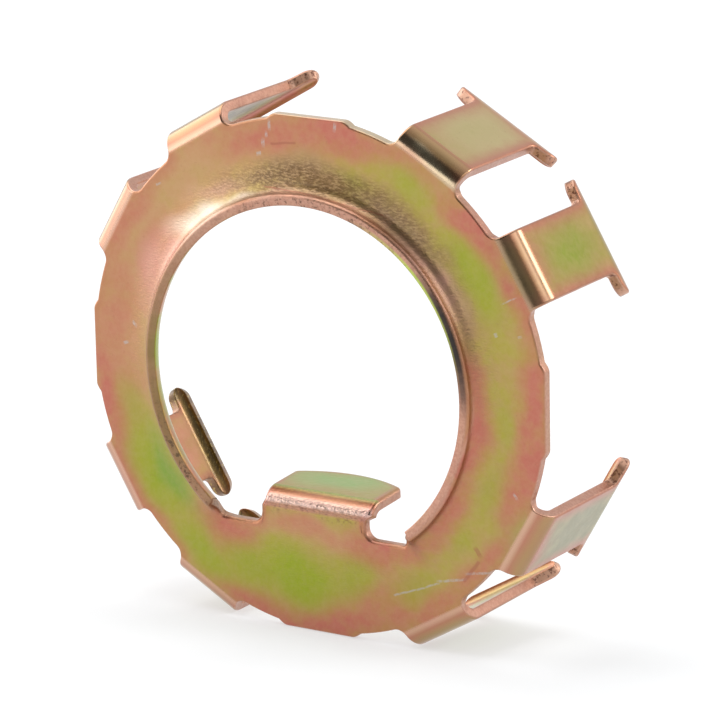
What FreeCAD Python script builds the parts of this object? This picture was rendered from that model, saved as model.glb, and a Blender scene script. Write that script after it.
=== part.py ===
import FreeCAD, Part
import math
import os

import Sketcher

# Spindle nut retainer: one piece of sheet steel, pierced, dished and folded.
# The body is drawn with its spindle axis along Z, its front face on Z = 0 facing +Z and its tab
# towards -Y. It is then stood up on its rim, so that the front face looks along -Y.

# Driving dimensions in millimetres and degrees
SIZES = {
    "sheet": 0.9,
    "rim_radius": 21.2,
    "facet_distance": 21.25,
    "facet_width": 6.8,
    "lip_width": 3.55,
    "dish_curve": 7.1,
    "lip_curve": 1.6,
    "lip_slope": 76.0,
    "hole_radius": 14.25,
    "lip_overlap": 0.5,
    "fade_start": 39.5,
    "fade_end": 33.5,
    "leg_face": 22.9,
    "leg_bend": 0.9,
    "leg_width": 6.2,
    "leg_length": 11.2,
    "leg_root_fillet": 0.9,
    "leg_pitch": 30.0,
    "hook_bend": 0.85,
    "hook_turn": 72.0,
    "hook_span": 10.0,
    "hook_end_radius": 1.1,
    "hook_tip_radius": 0.75,
    "hook_fillet": 0.6,
    "trim_margin": 0.8,
    "tab_face": 9.8,
    "tab_bend": 0.8,
    "tab_turn": 86.5,
    "tab_width": 10.2,
    "tab_depth": 6.1,
    "tab_end_radius": 11.0,
    "tab_corner": 0.6,
    "notch_relief": 1.3,
    "notch_inner": 4.95,
    "notch_outer": 8.7,
    "notch_offset": 0.4,
    "notch_radius": 0.9,
    "notch_flank": 1.5,
    "notch_flare": 0.8,
    "notch_height": 3.2,
    "notch_clearance": 0.25,
}

LEG_ANGLE = -60.0
LEGS_IN_PAIR = 2
PAIRS = 4

doc = FreeCAD.newDocument("spindle_nut_retainer")
sheet = doc.addObject("Spreadsheet::Sheet", "sizes")
for row, (alias, value) in enumerate(SIZES.items(), start=1):
    sheet.set(f"A{row}", alias)
    sheet.set(f"B{row}", str(value))
    sheet.setAlias(f"B{row}", alias)
doc.recompute()

body = doc.addObject("PartDesign::Body", "retainer")
body.Label = "nut_retainer"


def size(alias):
    """The value of one driving dimension."""
    return SIZES[alias]


# Places that several pieces share, as formulas of the driving dimensions and as numbers
DISH_START = "(sizes.hole_radius + sizes.lip_width)"
FOLD_START = "(sizes.tab_face + sizes.sheet + sizes.tab_bend)"
NOTCH_FLOOR = "(sizes.tab_face + sizes.sheet + sizes.tab_bend + sizes.notch_relief)"


def dish_start():
    """The radius at which the flat ring turns into the dish."""
    return size("hole_radius") + size("lip_width")


def fold_start():
    """How far below the axis the tab starts to fold."""
    return size("tab_face") + size("sheet") + size("tab_bend")


def notch_floor():
    """How far below the axis the relief notches end."""
    return fold_start() + size("notch_relief")


# Sketch helpers
ORIGIN = (-1, 1)
START, END, CENTRE = range(1, 4)


def new_sketch(name, role, turn=0.0, axis=(0, 1, 0), turn_formula=None):
    """A sketch on one of the body's own origin planes, turned by an angle about one of its axes."""
    sketch = body.newObject("Sketcher::SketchObject", name)
    plane = next(f for f in body.Origin.OriginFeatures if f.Role == role)
    sketch.AttachmentSupport = [(plane, "")]
    sketch.MapMode = "FlatFace"
    rotation = FreeCAD.Rotation(FreeCAD.Vector(*axis), turn)
    sketch.AttachmentOffset = FreeCAD.Placement(FreeCAD.Vector(0, 0, 0), rotation)
    if turn_formula:
        sketch.setExpression(".AttachmentOffset.Rotation.Angle", turn_formula)
    doc.recompute()
    return sketch


def line(sketch, start, end):
    """A straight edge between two points of the sketch plane."""
    return sketch.addGeometry(Part.LineSegment(FreeCAD.Vector(*start, 0), FreeCAD.Vector(*end, 0)))


def arc(sketch, centre, radius, first, last):
    """An arc drawn anticlockwise from the first to the last angle, in degrees."""
    circle = Part.Circle(FreeCAD.Vector(*centre, 0), FreeCAD.Vector(0, 0, 1), radius)
    return sketch.addGeometry(Part.ArcOfCircle(circle, math.radians(first), math.radians(last)))


def on_circle(centre, radius, angle):
    """The point of a circle at an angle in degrees."""
    turn = math.radians(angle)
    return (centre[0] + radius * math.cos(turn), centre[1] + radius * math.sin(turn))


def tie(sketch, kind, *refs):
    """A geometric constraint, such as Coincident, Tangent or Horizontal."""
    sketch.addConstraint(Sketcher.Constraint(kind, *refs))


def drive(sketch, kind, refs, formula):
    """A dimension that follows a formula of the driving dimensions."""
    if kind == "Radius":
        value = sketch.Geometry[refs[0]].Radius
    else:
        first = sketch.getPoint(refs[0], refs[1])
        second = sketch.getPoint(refs[2], refs[3])
        value = second.x - first.x if kind == "DistanceX" else second.y - first.y
        if value < 0:
            refs = refs[2:] + refs[:2]
            value = -value
    index = sketch.addConstraint(Sketcher.Constraint(kind, *refs, value))
    sketch.setExpression(f"Constraints[{index}]", formula)


def across(sketch, geometry, point, formula):
    """How far a point lies from the sketch's vertical axis."""
    drive(sketch, "DistanceX", ORIGIN + (geometry, point), formula)


def along(sketch, geometry, point, formula):
    """How far a point lies from the sketch's horizontal axis."""
    drive(sketch, "DistanceY", ORIGIN + (geometry, point), formula)


def close_loop(sketch, edges):
    """Joins edges end to start, in the order given; an edge is (geometry, first end, second end)."""
    for this, following in zip(edges, edges[1:] + edges[:1]):
        tie(sketch, "Coincident", this[0], this[2], following[0], following[1])


def new_feature(kind, name, **settings):
    """A feature of the body with its settings."""
    feature = body.newObject(f"PartDesign::{kind}", name)
    for key, value in settings.items():
        setattr(feature, key, value)
    return feature


def volume_after(feature):
    """The body's volume once this feature is built."""
    doc.recompute()
    return feature.Shape.Volume


# Flat ring between the dish and the rim
def ring_sketch():
    """Two circles about the axis: the rim and the start of the dish."""
    sketch = new_sketch("ring_outline", "XY_Plane")
    for radius, formula in ((size("rim_radius"), "sizes.rim_radius"), (dish_start(), DISH_START)):
        circle = Part.Circle(FreeCAD.Vector(0, 0, 0), FreeCAD.Vector(0, 0, 1), radius)
        index = sketch.addGeometry(circle)
        tie(sketch, "Coincident", index, CENTRE, *ORIGIN)
        drive(sketch, "Radius", (index,), formula)
    return sketch


ring = new_feature("Pad", "ring", Profile=ring_sketch(), Reversed=True)
ring.setExpression("Length", "sizes.sheet")


# Plain rim facets, one between each two pairs of legs
def facet_sketch():
    """A tongue with a straight outer edge, which stands a little proud of the round rim."""
    sketch = new_sketch("facet_outline", "XY_Plane")
    inner = size("rim_radius") - size("sheet")
    outer = size("facet_distance")
    half = size("facet_width") / 2
    bottom = line(sketch, (inner, -half), (outer, -half))
    face = line(sketch, (outer, -half), (outer, half))
    top = line(sketch, (outer, half), (inner, half))
    back = line(sketch, (inner, half), (inner, -half))
    close_loop(sketch, [(edge, START, END) for edge in (bottom, face, top, back)])
    tie(sketch, "Horizontal", bottom)
    tie(sketch, "Horizontal", top)
    tie(sketch, "Vertical", face)
    tie(sketch, "Vertical", back)
    across(sketch, back, START, "sizes.rim_radius - sizes.sheet")
    across(sketch, face, START, "sizes.facet_distance")
    along(sketch, top, END, "sizes.facet_width / 2")
    along(sketch, bottom, START, "sizes.facet_width / 2")
    return sketch


facet = new_feature("Pad", "facet", Profile=facet_sketch(), Reversed=True)
facet.setExpression("Length", "sizes.sheet")
z_axis = next(f for f in body.Origin.OriginFeatures if f.Role == "Z_Axis")
facets = new_feature(
    "PolarPattern", "facets", Originals=[facet], Axis=(z_axis, [""]), Angle=360, Occurrences=PAIRS
)
body.Tip = facets


# Dish and raised lip round the spindle hole
def lip_section(sketch):
    """The sheet's section through the dish: a gentle curve, a tight one and the pierced edge."""
    thick = size("sheet")
    start = dish_start()
    overlap = start + size("lip_overlap")
    wide, tight = size("dish_curve"), size("lip_curve")
    slope = math.radians(size("lip_slope"))
    edge = size("hole_radius") + thick * math.sin(slope)
    first = math.asin((start - edge - tight * math.sin(slope)) / (wide - tight))
    wide_centre = (start, wide)
    tight_centre = (start - (wide - tight) * math.sin(first), wide - (wide - tight) * math.cos(first))
    turn_1 = 270.0 - math.degrees(first)
    turn_2 = 270.0 - size("lip_slope")
    lip_front = on_circle(tight_centre, tight, turn_2)
    lip_back = on_circle(tight_centre, tight + thick, turn_2)
    close = line(sketch, (overlap, -thick), (overlap, 0))
    front = line(sketch, (overlap, 0), (start, 0))
    front_wide = arc(sketch, wide_centre, wide, turn_1, 270)
    front_tight = arc(sketch, tight_centre, tight, turn_2, turn_1)
    edge_line = line(sketch, lip_front, lip_back)
    back_tight = arc(sketch, tight_centre, tight + thick, turn_2, turn_1)
    back_wide = arc(sketch, wide_centre, wide + thick, turn_1, 270)
    back = line(sketch, (start, -thick), (overlap, -thick))
    tie(sketch, "Coincident", close, END, front, START)
    tie(sketch, "Horizontal", front)
    tie(sketch, "Horizontal", back)
    tie(sketch, "Vertical", close)
    tie(sketch, "Tangent", front, END, front_wide, END)
    tie(sketch, "Tangent", front_wide, START, front_tight, END)
    tie(sketch, "Coincident", front_tight, START, edge_line, START)
    tie(sketch, "Coincident", edge_line, END, back_tight, START)
    tie(sketch, "Tangent", back_tight, END, back_wide, START)
    tie(sketch, "Tangent", back_wide, END, back, START)
    tie(sketch, "Coincident", back, END, close, START)
    tie(sketch, "Coincident", front_wide, CENTRE, back_wide, CENTRE)
    tie(sketch, "Coincident", front_tight, CENTRE, back_tight, CENTRE)
    tie(sketch, "PointOnObject", front_tight, CENTRE, edge_line)
    tie(sketch, "PointOnObject", front, START, -1)
    across(sketch, close, START, f"{DISH_START} + sizes.lip_overlap")
    along(sketch, back, START, "sizes.sheet")
    across(sketch, front, END, DISH_START)
    drive(sketch, "Radius", (front_wide,), "sizes.dish_curve")
    drive(sketch, "Radius", (front_tight,), "sizes.lip_curve")
    across(sketch, edge_line, END, "sizes.hole_radius")
    drive(sketch, "DistanceY", (edge_line, START, edge_line, END), "sizes.sheet * cos(sizes.lip_slope)")
    return sketch


def flat_section(sketch):
    """The same section where the dish has died out, with as many edges as the lip section."""
    thick = size("sheet")
    start = dish_start()
    hole = size("hole_radius")
    radii = [start + size("lip_overlap"), start, (start + hole) / 2, hole]
    front = [(radius, 0) for radius in radii]
    back = [(radius, -thick) for radius in reversed(radii)]
    points = [back[-1]] + front + back[:-1]
    edges = [line(sketch, a, b) for a, b in zip(points, points[1:] + points[:1])]
    close_loop(sketch, [(edge, START, END) for edge in edges])
    for edge in (edges[0], edges[4]):
        tie(sketch, "Vertical", edge)
    for edge in edges[1:4] + edges[5:]:
        tie(sketch, "Horizontal", edge)
    tie(sketch, "PointOnObject", edges[1], START, -1)
    along(sketch, edges[5], START, "sizes.sheet")
    across(sketch, edges[0], START, f"{DISH_START} + sizes.lip_overlap")
    across(sketch, edges[2], START, DISH_START)
    across(sketch, edges[3], START, "sizes.hole_radius + sizes.lip_width / 2")
    across(sketch, edges[4], START, "sizes.hole_radius")
    across(sketch, edges[6], START, "sizes.hole_radius + sizes.lip_width / 2")
    across(sketch, edges[7], START, DISH_START)
    return sketch


lip_sketch = lip_section(new_sketch("lip_section", "YZ_Plane"))
lip = new_feature("Revolution", "lip", Profile=lip_sketch, Midplane=True)
lip.ReferenceAxis = (lip_sketch, ["V_Axis"])
lip.setExpression("Angle", "360 - 2 * sizes.fade_start")


def fade(name, side):
    """The dish dying out into the flat, on the side of the tab that the sign gives."""
    formula = "-90 + {} * sizes.{}"
    turned = -90 + side * size("fade_start")
    full = new_sketch(f"{name}_full", "XZ_Plane", turned, turn_formula=formula.format(side, "fade_start"))
    turned = -90 + side * size("fade_end")
    flat = new_sketch(f"{name}_flat", "XZ_Plane", turned, turn_formula=formula.format(side, "fade_end"))
    return new_feature("AdditiveLoft", name, Profile=lip_section(full), Sections=[flat_section(flat)])


fade_right = fade("fade_right", 1)
fade_left = fade("fade_left", -1)


# Flat bridge under the tab
def bridge_sketch():
    """The flat sheet between the two ends of the lip, up to where the tab starts to fold."""
    sketch = new_sketch("bridge_outline", "XY_Plane")
    hole, outer = size("hole_radius"), dish_start() + size("lip_overlap")
    span = size("fade_end")
    root = size("notch_inner") + size("notch_offset") + size("notch_radius")
    below = arc(sketch, (0, 0), outer, 270 - span, 270 + span)
    right = line(sketch, on_circle((0, 0), outer, 270 + span), on_circle((0, 0), hole, 270 + span))
    right_step = line(sketch, on_circle((0, 0), hole, 270 + span), (root, -fold_start()))
    top = line(sketch, (root, -fold_start()), (-root, -fold_start()))
    left_step = line(sketch, (-root, -fold_start()), on_circle((0, 0), hole, 270 - span))
    left = line(sketch, on_circle((0, 0), hole, 270 - span), on_circle((0, 0), outer, 270 - span))
    close_loop(sketch, [(edge, START, END) for edge in (below, right, right_step, top, left_step, left)])
    tie(sketch, "Coincident", below, CENTRE, *ORIGIN)
    tie(sketch, "Horizontal", top)
    drive(sketch, "Radius", (below,), f"{DISH_START} + sizes.lip_overlap")
    for edge, outer_end, inner_end in ((right, START, END), (left, END, START)):
        across(sketch, edge, outer_end, f"({DISH_START} + sizes.lip_overlap) * sin(sizes.fade_end)")
        across(sketch, edge, inner_end, "sizes.hole_radius * sin(sizes.fade_end)")
        along(sketch, edge, inner_end, "sizes.hole_radius * cos(sizes.fade_end)")
    along(sketch, top, START, FOLD_START)
    across(sketch, top, START, "sizes.notch_inner + sizes.notch_offset + sizes.notch_radius")
    across(sketch, top, END, "sizes.notch_inner + sizes.notch_offset + sizes.notch_radius")
    return sketch


bridge = new_feature("Pad", "bridge", Profile=bridge_sketch(), Reversed=True)
bridge.setExpression("Length", "sizes.sheet")


# Legs that fold back over the nut's corners and flats, with their tips curled in behind it
def leg_sketch():
    """The section of one leg: out of the ring, round the fold, back along the nut, round the hook."""
    sketch = new_sketch("leg_section", "XZ_Plane", LEG_ANGLE)
    thick = size("sheet")
    bend, hook = size("leg_bend"), size("hook_bend")
    face, length = size("leg_face"), size("leg_length")
    turn = size("hook_turn")
    root = size("rim_radius") - 2 * thick
    fold = (face - thick - bend, -thick - bend)
    curl = (face - thick - hook, -length)
    front = line(sketch, (root, 0), (fold[0], 0))
    fold_out = arc(sketch, fold, bend + thick, 0, 90)
    outside = line(sketch, (face, fold[1]), (face, -length))
    curl_out = arc(sketch, curl, hook + thick, -turn, 0)
    tip = line(sketch, on_circle(curl, hook + thick, -turn), on_circle(curl, hook, -turn))
    curl_in = arc(sketch, curl, hook, -turn, 0)
    inside = line(sketch, (face - thick, -length), (face - thick, fold[1]))
    fold_in = arc(sketch, fold, bend, 0, 90)
    back = line(sketch, (fold[0], -thick), (root, -thick))
    close = line(sketch, (root, -thick), (root, 0))
    tie(sketch, "Horizontal", front)
    tie(sketch, "Horizontal", back)
    tie(sketch, "Vertical", outside)
    tie(sketch, "Vertical", inside)
    tie(sketch, "Vertical", close)
    tie(sketch, "PointOnObject", front, START, -1)
    tie(sketch, "Tangent", front, END, fold_out, END)
    tie(sketch, "Tangent", fold_out, START, outside, START)
    tie(sketch, "Tangent", outside, END, curl_out, END)
    tie(sketch, "Coincident", curl_out, START, tip, START)
    tie(sketch, "Coincident", tip, END, curl_in, START)
    tie(sketch, "Tangent", curl_in, END, inside, START)
    tie(sketch, "Tangent", inside, END, fold_in, START)
    tie(sketch, "Tangent", fold_in, END, back, START)
    tie(sketch, "Coincident", back, END, close, START)
    tie(sketch, "Coincident", close, END, front, START)
    tie(sketch, "Coincident", fold_out, CENTRE, fold_in, CENTRE)
    tie(sketch, "Coincident", curl_out, CENTRE, curl_in, CENTRE)
    tie(sketch, "PointOnObject", curl_out, CENTRE, tip)
    across(sketch, close, START, "sizes.rim_radius - 2 * sizes.sheet")
    along(sketch, back, START, "sizes.sheet")
    across(sketch, outside, START, "sizes.leg_face")
    drive(sketch, "Radius", (fold_in,), "sizes.leg_bend")
    along(sketch, outside, END, "sizes.leg_length")
    drive(sketch, "Radius", (curl_in,), "sizes.hook_bend")
    drive(sketch, "DistanceY", (tip, END, tip, START), "sizes.sheet * sin(sizes.hook_turn)")
    return sketch


leg = new_feature("Pad", "leg", Profile=leg_sketch(), Midplane=True)
leg.setExpression("Length", "sizes.hook_span + 2 * sizes.trim_margin")


def leg_root_sketch():
    """What is trimmed away beside the leg's root, seen along the axis, with a fillet to the rim."""
    sketch = new_sketch("leg_root", "XY_Plane", LEG_ANGLE, axis=(0, 0, 1))
    rim, fillet = size("rim_radius"), size("leg_root_fillet")
    half = size("leg_width") / 2
    wide = size("hook_span") / 2 + 2 * size("trim_margin")
    beyond = size("leg_face") + size("trim_margin")
    middle = math.sqrt((rim + fillet) ** 2 - (half + fillet) ** 2)
    low = math.degrees(math.atan2(half + fillet, middle))
    high = math.degrees(math.asin(wide / rim))
    for side in (1, -1):
        centre = (middle, side * (half + fillet))
        if side > 0:
            edge = arc(sketch, (0, 0), rim, low, high)
            nook = arc(sketch, centre, fillet, 180 + low, 270)
            edge_near, edge_far, nook_rim, nook_leg = START, END, START, END
        else:
            edge = arc(sketch, (0, 0), rim, -high, -low)
            nook = arc(sketch, centre, fillet, 90, 180 - low)
            edge_near, edge_far, nook_rim, nook_leg = END, START, END, START
        out = line(sketch, (rim * math.cos(math.radians(high)), side * wide), (beyond, side * wide))
        down = line(sketch, (beyond, side * wide), (beyond, side * half))
        flank = line(sketch, (beyond, side * half), (middle, side * half))
        tie(sketch, "Coincident", edge, CENTRE, *ORIGIN)
        tie(sketch, "Coincident", edge, edge_far, out, START)
        tie(sketch, "Coincident", out, END, down, START)
        tie(sketch, "Coincident", down, END, flank, START)
        tie(sketch, "Tangent", flank, END, nook, nook_leg)
        tie(sketch, "Tangent", nook, nook_rim, edge, edge_near)
        tie(sketch, "Horizontal", out)
        tie(sketch, "Vertical", down)
        tie(sketch, "Horizontal", flank)
        drive(sketch, "Radius", (edge,), "sizes.rim_radius")
        drive(sketch, "Radius", (nook,), "sizes.leg_root_fillet")
        along(sketch, flank, START, "sizes.leg_width / 2")
        along(sketch, out, START, "sizes.hook_span / 2 + 2 * sizes.trim_margin")
        across(sketch, down, START, "sizes.leg_face + sizes.trim_margin")
    return sketch


leg_root = new_feature("Pocket", "leg_root_trim", Profile=leg_root_sketch())
leg_root.setExpression("Length", "sizes.sheet + 0.6 * sizes.leg_bend")


def leg_outline_sketch():
    """What is trimmed away beside the leg and round the ends of its hook, seen square to the leg."""
    sketch = new_sketch("leg_outline", "YZ_Plane", LEG_ANGLE)
    half, span = size("leg_width") / 2, size("hook_span") / 2
    root = size("sheet") + 0.6 * size("leg_bend")
    length, nook_radius = size("leg_length"), size("hook_fillet")
    end, tip = size("hook_end_radius"), size("hook_tip_radius")
    wide = span + size("trim_margin") * 1.5
    deep = length + size("sheet") + size("hook_bend") + size("trim_margin")
    for side in (1, -1):
        top = line(sketch, (side * half, -root), (side * wide, -root))
        outer = line(sketch, (side * wide, -root), (side * wide, -deep))
        bottom = line(sketch, (side * wide, -deep), (side * (span - tip), -deep))
        rise = line(sketch, (side * (span - tip), -deep), (side * (span - tip), -length - end - tip))
        ledge = line(sketch, (side * (span - end), -length), (side * (half + nook_radius), -length))
        flank = line(sketch, (side * half, nook_radius - length), (side * half, -root))
        if side > 0:
            far = arc(sketch, (span - tip, -length - end), tip, -90, 0)
            near = arc(sketch, (span - end, -length - end), end, 0, 90)
            nook = arc(sketch, (half + nook_radius, nook_radius - length), nook_radius, 180, 270)
            far_rise, far_near, near_far, near_ledge = START, END, START, END
            nook_ledge, nook_flank = END, START
        else:
            far = arc(sketch, (tip - span, -length - end), tip, 180, 270)
            near = arc(sketch, (end - span, -length - end), end, 90, 180)
            nook = arc(sketch, (-half - nook_radius, nook_radius - length), nook_radius, 270, 360)
            far_rise, far_near, near_far, near_ledge = END, START, END, START
            nook_ledge, nook_flank = START, END
        for first, first_end, second, second_end in (
            (top, END, outer, START),
            (outer, END, bottom, START),
            (bottom, END, rise, START),
            (rise, END, far, far_rise),
            (flank, END, top, START),
        ):
            tie(sketch, "Coincident", first, first_end, second, second_end)
        tie(sketch, "Tangent", far, far_near, near, near_far)
        tie(sketch, "Tangent", near, near_ledge, ledge, START)
        tie(sketch, "Tangent", ledge, END, nook, nook_ledge)
        tie(sketch, "Tangent", nook, nook_flank, flank, START)
        for edge in (top, bottom, ledge):
            tie(sketch, "Horizontal", edge)
        for edge in (outer, rise, flank):
            tie(sketch, "Vertical", edge)
        tie(sketch, "Vertical", far, CENTRE, far, far_rise)
        drive(sketch, "Radius", (far,), "sizes.hook_tip_radius")
        drive(sketch, "Radius", (near,), "sizes.hook_end_radius")
        drive(sketch, "Radius", (nook,), "sizes.hook_fillet")
        across(sketch, flank, END, "sizes.leg_width / 2")
        across(sketch, near, near_far, "sizes.hook_span / 2")
        across(sketch, outer, START, "sizes.hook_span / 2 + 1.5 * sizes.trim_margin")
        along(sketch, top, START, "sizes.sheet + 0.6 * sizes.leg_bend")
        along(sketch, ledge, START, "sizes.leg_length")
        along(sketch, near, near_far, "sizes.leg_length + sizes.hook_end_radius")
        formula = "sizes.leg_length + sizes.sheet + sizes.hook_bend + sizes.trim_margin"
        along(sketch, bottom, START, formula)
    return sketch


leg_outline = new_feature("Pocket", "leg_outline_trim", Profile=leg_outline_sketch(), Reversed=True)
leg_outline.setExpression("Length", "sizes.leg_face + sizes.trim_margin")
doc.recompute()

pair = new_feature("PolarPattern", "pair", Axis=(z_axis, [""]), Occurrences=LEGS_IN_PAIR)
pair.setExpression("Angle", "sizes.leg_pitch")
crown = new_feature("PolarPattern", "crown", Axis=(z_axis, [""]), Angle=360, Occurrences=PAIRS)
legs = new_feature("MultiTransform", "legs", Originals=[leg, leg_root, leg_outline])
legs.Transformations = [pair, crown]
body.Tip = legs


# Tab that lies on the spindle's flat
def tab_sketch():
    """The section of the tab: out of the bridge, round the fold and back beside the spindle."""
    sketch = new_sketch("tab_section", "YZ_Plane")
    thick, bend = size("sheet"), size("tab_bend")
    lean = 90 - size("tab_turn")
    fold = (-fold_start(), -thick - bend)
    root = notch_floor() + 2 * thick
    reach = size("tab_depth") + thick
    outer = on_circle(fold, bend + thick, lean)
    inner = on_circle(fold, bend, lean)
    drop = math.tan(math.radians(lean))
    front = line(sketch, (-root, 0), (fold[0], 0))
    fold_out = arc(sketch, fold, bend + thick, lean, 90)
    upper = line(sketch, outer, (outer[0] + (reach + outer[1]) * drop, -reach))
    end = line(sketch, (outer[0] + (reach + outer[1]) * drop, -reach), (inner[0] + (reach + inner[1]) * drop, -reach))
    lower = line(sketch, (inner[0] + (reach + inner[1]) * drop, -reach), inner)
    fold_in = arc(sketch, fold, bend, lean, 90)
    back = line(sketch, (fold[0], -thick), (-root, -thick))
    close = line(sketch, (-root, -thick), (-root, 0))
    tie(sketch, "Tangent", front, END, fold_out, END)
    tie(sketch, "Tangent", fold_out, START, upper, START)
    tie(sketch, "Coincident", upper, END, end, START)
    tie(sketch, "Coincident", end, END, lower, START)
    tie(sketch, "Tangent", lower, END, fold_in, START)
    tie(sketch, "Tangent", fold_in, END, back, START)
    tie(sketch, "Coincident", back, END, close, START)
    tie(sketch, "Coincident", close, END, front, START)
    tie(sketch, "Coincident", fold_out, CENTRE, fold_in, CENTRE)
    tie(sketch, "Horizontal", front)
    tie(sketch, "Horizontal", back)
    tie(sketch, "Horizontal", end)
    tie(sketch, "Vertical", close)
    tie(sketch, "Parallel", upper, lower)
    tie(sketch, "PointOnObject", front, START, -1)
    along(sketch, back, START, "sizes.sheet")
    across(sketch, close, START, f"{NOTCH_FLOOR} + 2 * sizes.sheet")
    across(sketch, fold_in, CENTRE, FOLD_START)
    drive(sketch, "Radius", (fold_in,), "sizes.tab_bend")
    along(sketch, end, START, "sizes.tab_depth + sizes.sheet")
    run = "(sizes.sheet + sizes.tab_bend) * sin(sizes.tab_turn)"
    drive(sketch, "DistanceX", (fold_out, CENTRE, upper, START), run)
    return sketch


tab = new_feature("Pad", "tab", Profile=tab_sketch(), Midplane=True)
tab.setExpression("Length", "sizes.tab_width")


def notch_sketch():
    """A relief notch on each side of the tab's root; the pair sits a little off centre."""
    sketch = new_sketch("notches", "XY_Plane")
    floor, radius, shift = notch_floor(), size("notch_radius"), size("notch_offset")
    top = size("notch_height") - floor
    bend = size("notch_flank") - floor
    flare = bend + size("notch_flare")
    beside = size("tab_width") / 2 + size("notch_clearance")
    for side, sign in ((1, "-"), (-1, "+")):
        near = side * size("notch_inner") - shift
        far = side * size("notch_outer") - shift
        step = line(sketch, (far, top), (far, -floor))
        flat = line(sketch, (far, -floor), (near + side * radius, -floor))
        nook_centre = (near + side * radius, radius - floor)
        if side > 0:
            nook = arc(sketch, nook_centre, radius, 180, 270)
            nook_floor, nook_flank = END, START
        else:
            nook = arc(sketch, nook_centre, radius, 270, 360)
            nook_floor, nook_flank = START, END
        flank = line(sketch, (near, radius - floor), (near, bend))
        slant = line(sketch, (near, bend), (side * beside, flare))
        rise = line(sketch, (side * beside, flare), (side * beside, top))
        lid = line(sketch, (side * beside, top), (far, top))
        tie(sketch, "Coincident", step, END, flat, START)
        tie(sketch, "Tangent", flat, END, nook, nook_floor)
        tie(sketch, "Tangent", nook, nook_flank, flank, START)
        tie(sketch, "Coincident", flank, END, slant, START)
        tie(sketch, "Coincident", slant, END, rise, START)
        tie(sketch, "Coincident", rise, END, lid, START)
        tie(sketch, "Coincident", lid, END, step, START)
        for edge in (step, flank, rise):
            tie(sketch, "Vertical", edge)
        for edge in (flat, lid):
            tie(sketch, "Horizontal", edge)
        drive(sketch, "Radius", (nook,), "sizes.notch_radius")
        across(sketch, step, START, f"sizes.notch_outer {sign} sizes.notch_offset")
        across(sketch, flank, START, f"sizes.notch_inner {sign} sizes.notch_offset")
        across(sketch, rise, START, "sizes.tab_width / 2 + sizes.notch_clearance")
        along(sketch, flat, START, NOTCH_FLOOR)
        along(sketch, flank, END, f"{NOTCH_FLOOR} - sizes.notch_flank")
        along(sketch, slant, END, f"{NOTCH_FLOOR} - sizes.notch_flank - sizes.notch_flare")
        along(sketch, lid, START, f"{NOTCH_FLOOR} - sizes.notch_height")
    return sketch


before_notches = volume_after(tab)
notches = new_feature("Pocket", "notches_cut", Profile=notch_sketch(), Type="ThroughAll", Midplane=True)
after_notches = volume_after(notches)


def tab_end_sketch():
    """What is trimmed away past the tab's bowed end, seen square to the tab."""
    sketch = new_sketch("tab_end", "XZ_Plane")
    half, depth = size("tab_width") / 2, size("tab_depth")
    bow, corner = size("tab_end_radius"), size("tab_corner")
    wide = half + size("trim_margin")
    top = -size("sheet") - size("tab_bend") - size("trim_margin")
    deep = depth + 2 * size("sheet")
    middle = (0, bow - depth)
    drop = math.sqrt((bow - corner) ** 2 - (half - corner) ** 2)
    lean = math.degrees(math.asin((half - corner) / (bow - corner)))
    bowed = arc(sketch, middle, bow, 270 - lean, 270 + lean)
    floor = line(sketch, (-wide, -deep), (wide, -deep))
    tie(sketch, "Horizontal", floor)
    tie(sketch, "PointOnObject", bowed, CENTRE, -2)
    drive(sketch, "Radius", (bowed,), "sizes.tab_end_radius")
    along(sketch, bowed, CENTRE, "sizes.tab_end_radius - sizes.tab_depth")
    along(sketch, floor, START, "sizes.tab_depth + 2 * sizes.sheet")
    for side, bow_end, floor_end in ((1, END, END), (-1, START, START)):
        centre = (side * (half - corner), middle[1] - drop)
        if side > 0:
            round_off = arc(sketch, centre, corner, 270 + lean, 360)
            round_bow, round_side = START, END
        else:
            round_off = arc(sketch, centre, corner, 180, 270 - lean)
            round_bow, round_side = END, START
        flank = line(sketch, (side * half, centre[1]), (side * half, top))
        shoulder = line(sketch, (side * half, top), (side * wide, top))
        fall = line(sketch, (side * wide, top), (side * wide, -deep))
        tie(sketch, "Tangent", bowed, bow_end, round_off, round_bow)
        tie(sketch, "Tangent", round_off, round_side, flank, START)
        tie(sketch, "Coincident", flank, END, shoulder, START)
        tie(sketch, "Coincident", shoulder, END, fall, START)
        tie(sketch, "Coincident", fall, END, floor, floor_end)
        tie(sketch, "Vertical", flank)
        tie(sketch, "Horizontal", shoulder)
        tie(sketch, "Vertical", fall)
        drive(sketch, "Radius", (round_off,), "sizes.tab_corner")
        across(sketch, flank, START, "sizes.tab_width / 2")
        across(sketch, fall, START, "sizes.tab_width / 2 + sizes.trim_margin")
        along(sketch, shoulder, START, "sizes.sheet + sizes.tab_bend + sizes.trim_margin")
    return sketch


tab_end = new_feature("Pocket", "tab_end_trim", Profile=tab_end_sketch(), Reversed=True)
tab_end.setExpression("Length", NOTCH_FLOOR)
after_trim = volume_after(tab_end)

# The part stands on its rim: front face towards -Y, up along +Z, origin under its middle
def stand_up(lean):
    """Turns the body so that its axis lies along Y, then leans its front face down by an angle."""
    turned = FreeCAD.Rotation(FreeCAD.Vector(1, 0, 0), 90 + lean)
    body.Placement = FreeCAD.Placement(FreeCAD.Vector(0, 0, 0), turned)
    doc.recompute()
    return turned


def standing_lean(points):
    """The lean at which the bottom facet and the hooks of the lowest legs touch the floor together."""
    middle = -size("leg_length") / 2
    level, steep = 0.0, 15.0
    for _ in range(30):
        lean = (level + steep) / 2
        turn = math.radians(lean)
        heights = [(p.z, p.y * math.cos(turn) - p.z * math.sin(turn)) for p in points]
        front = min(height for depth, height in heights if depth > middle)
        back = min(height for depth, height in heights if depth < middle)
        level, steep = (lean, steep) if front > back else (level, lean)
    return lean


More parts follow.
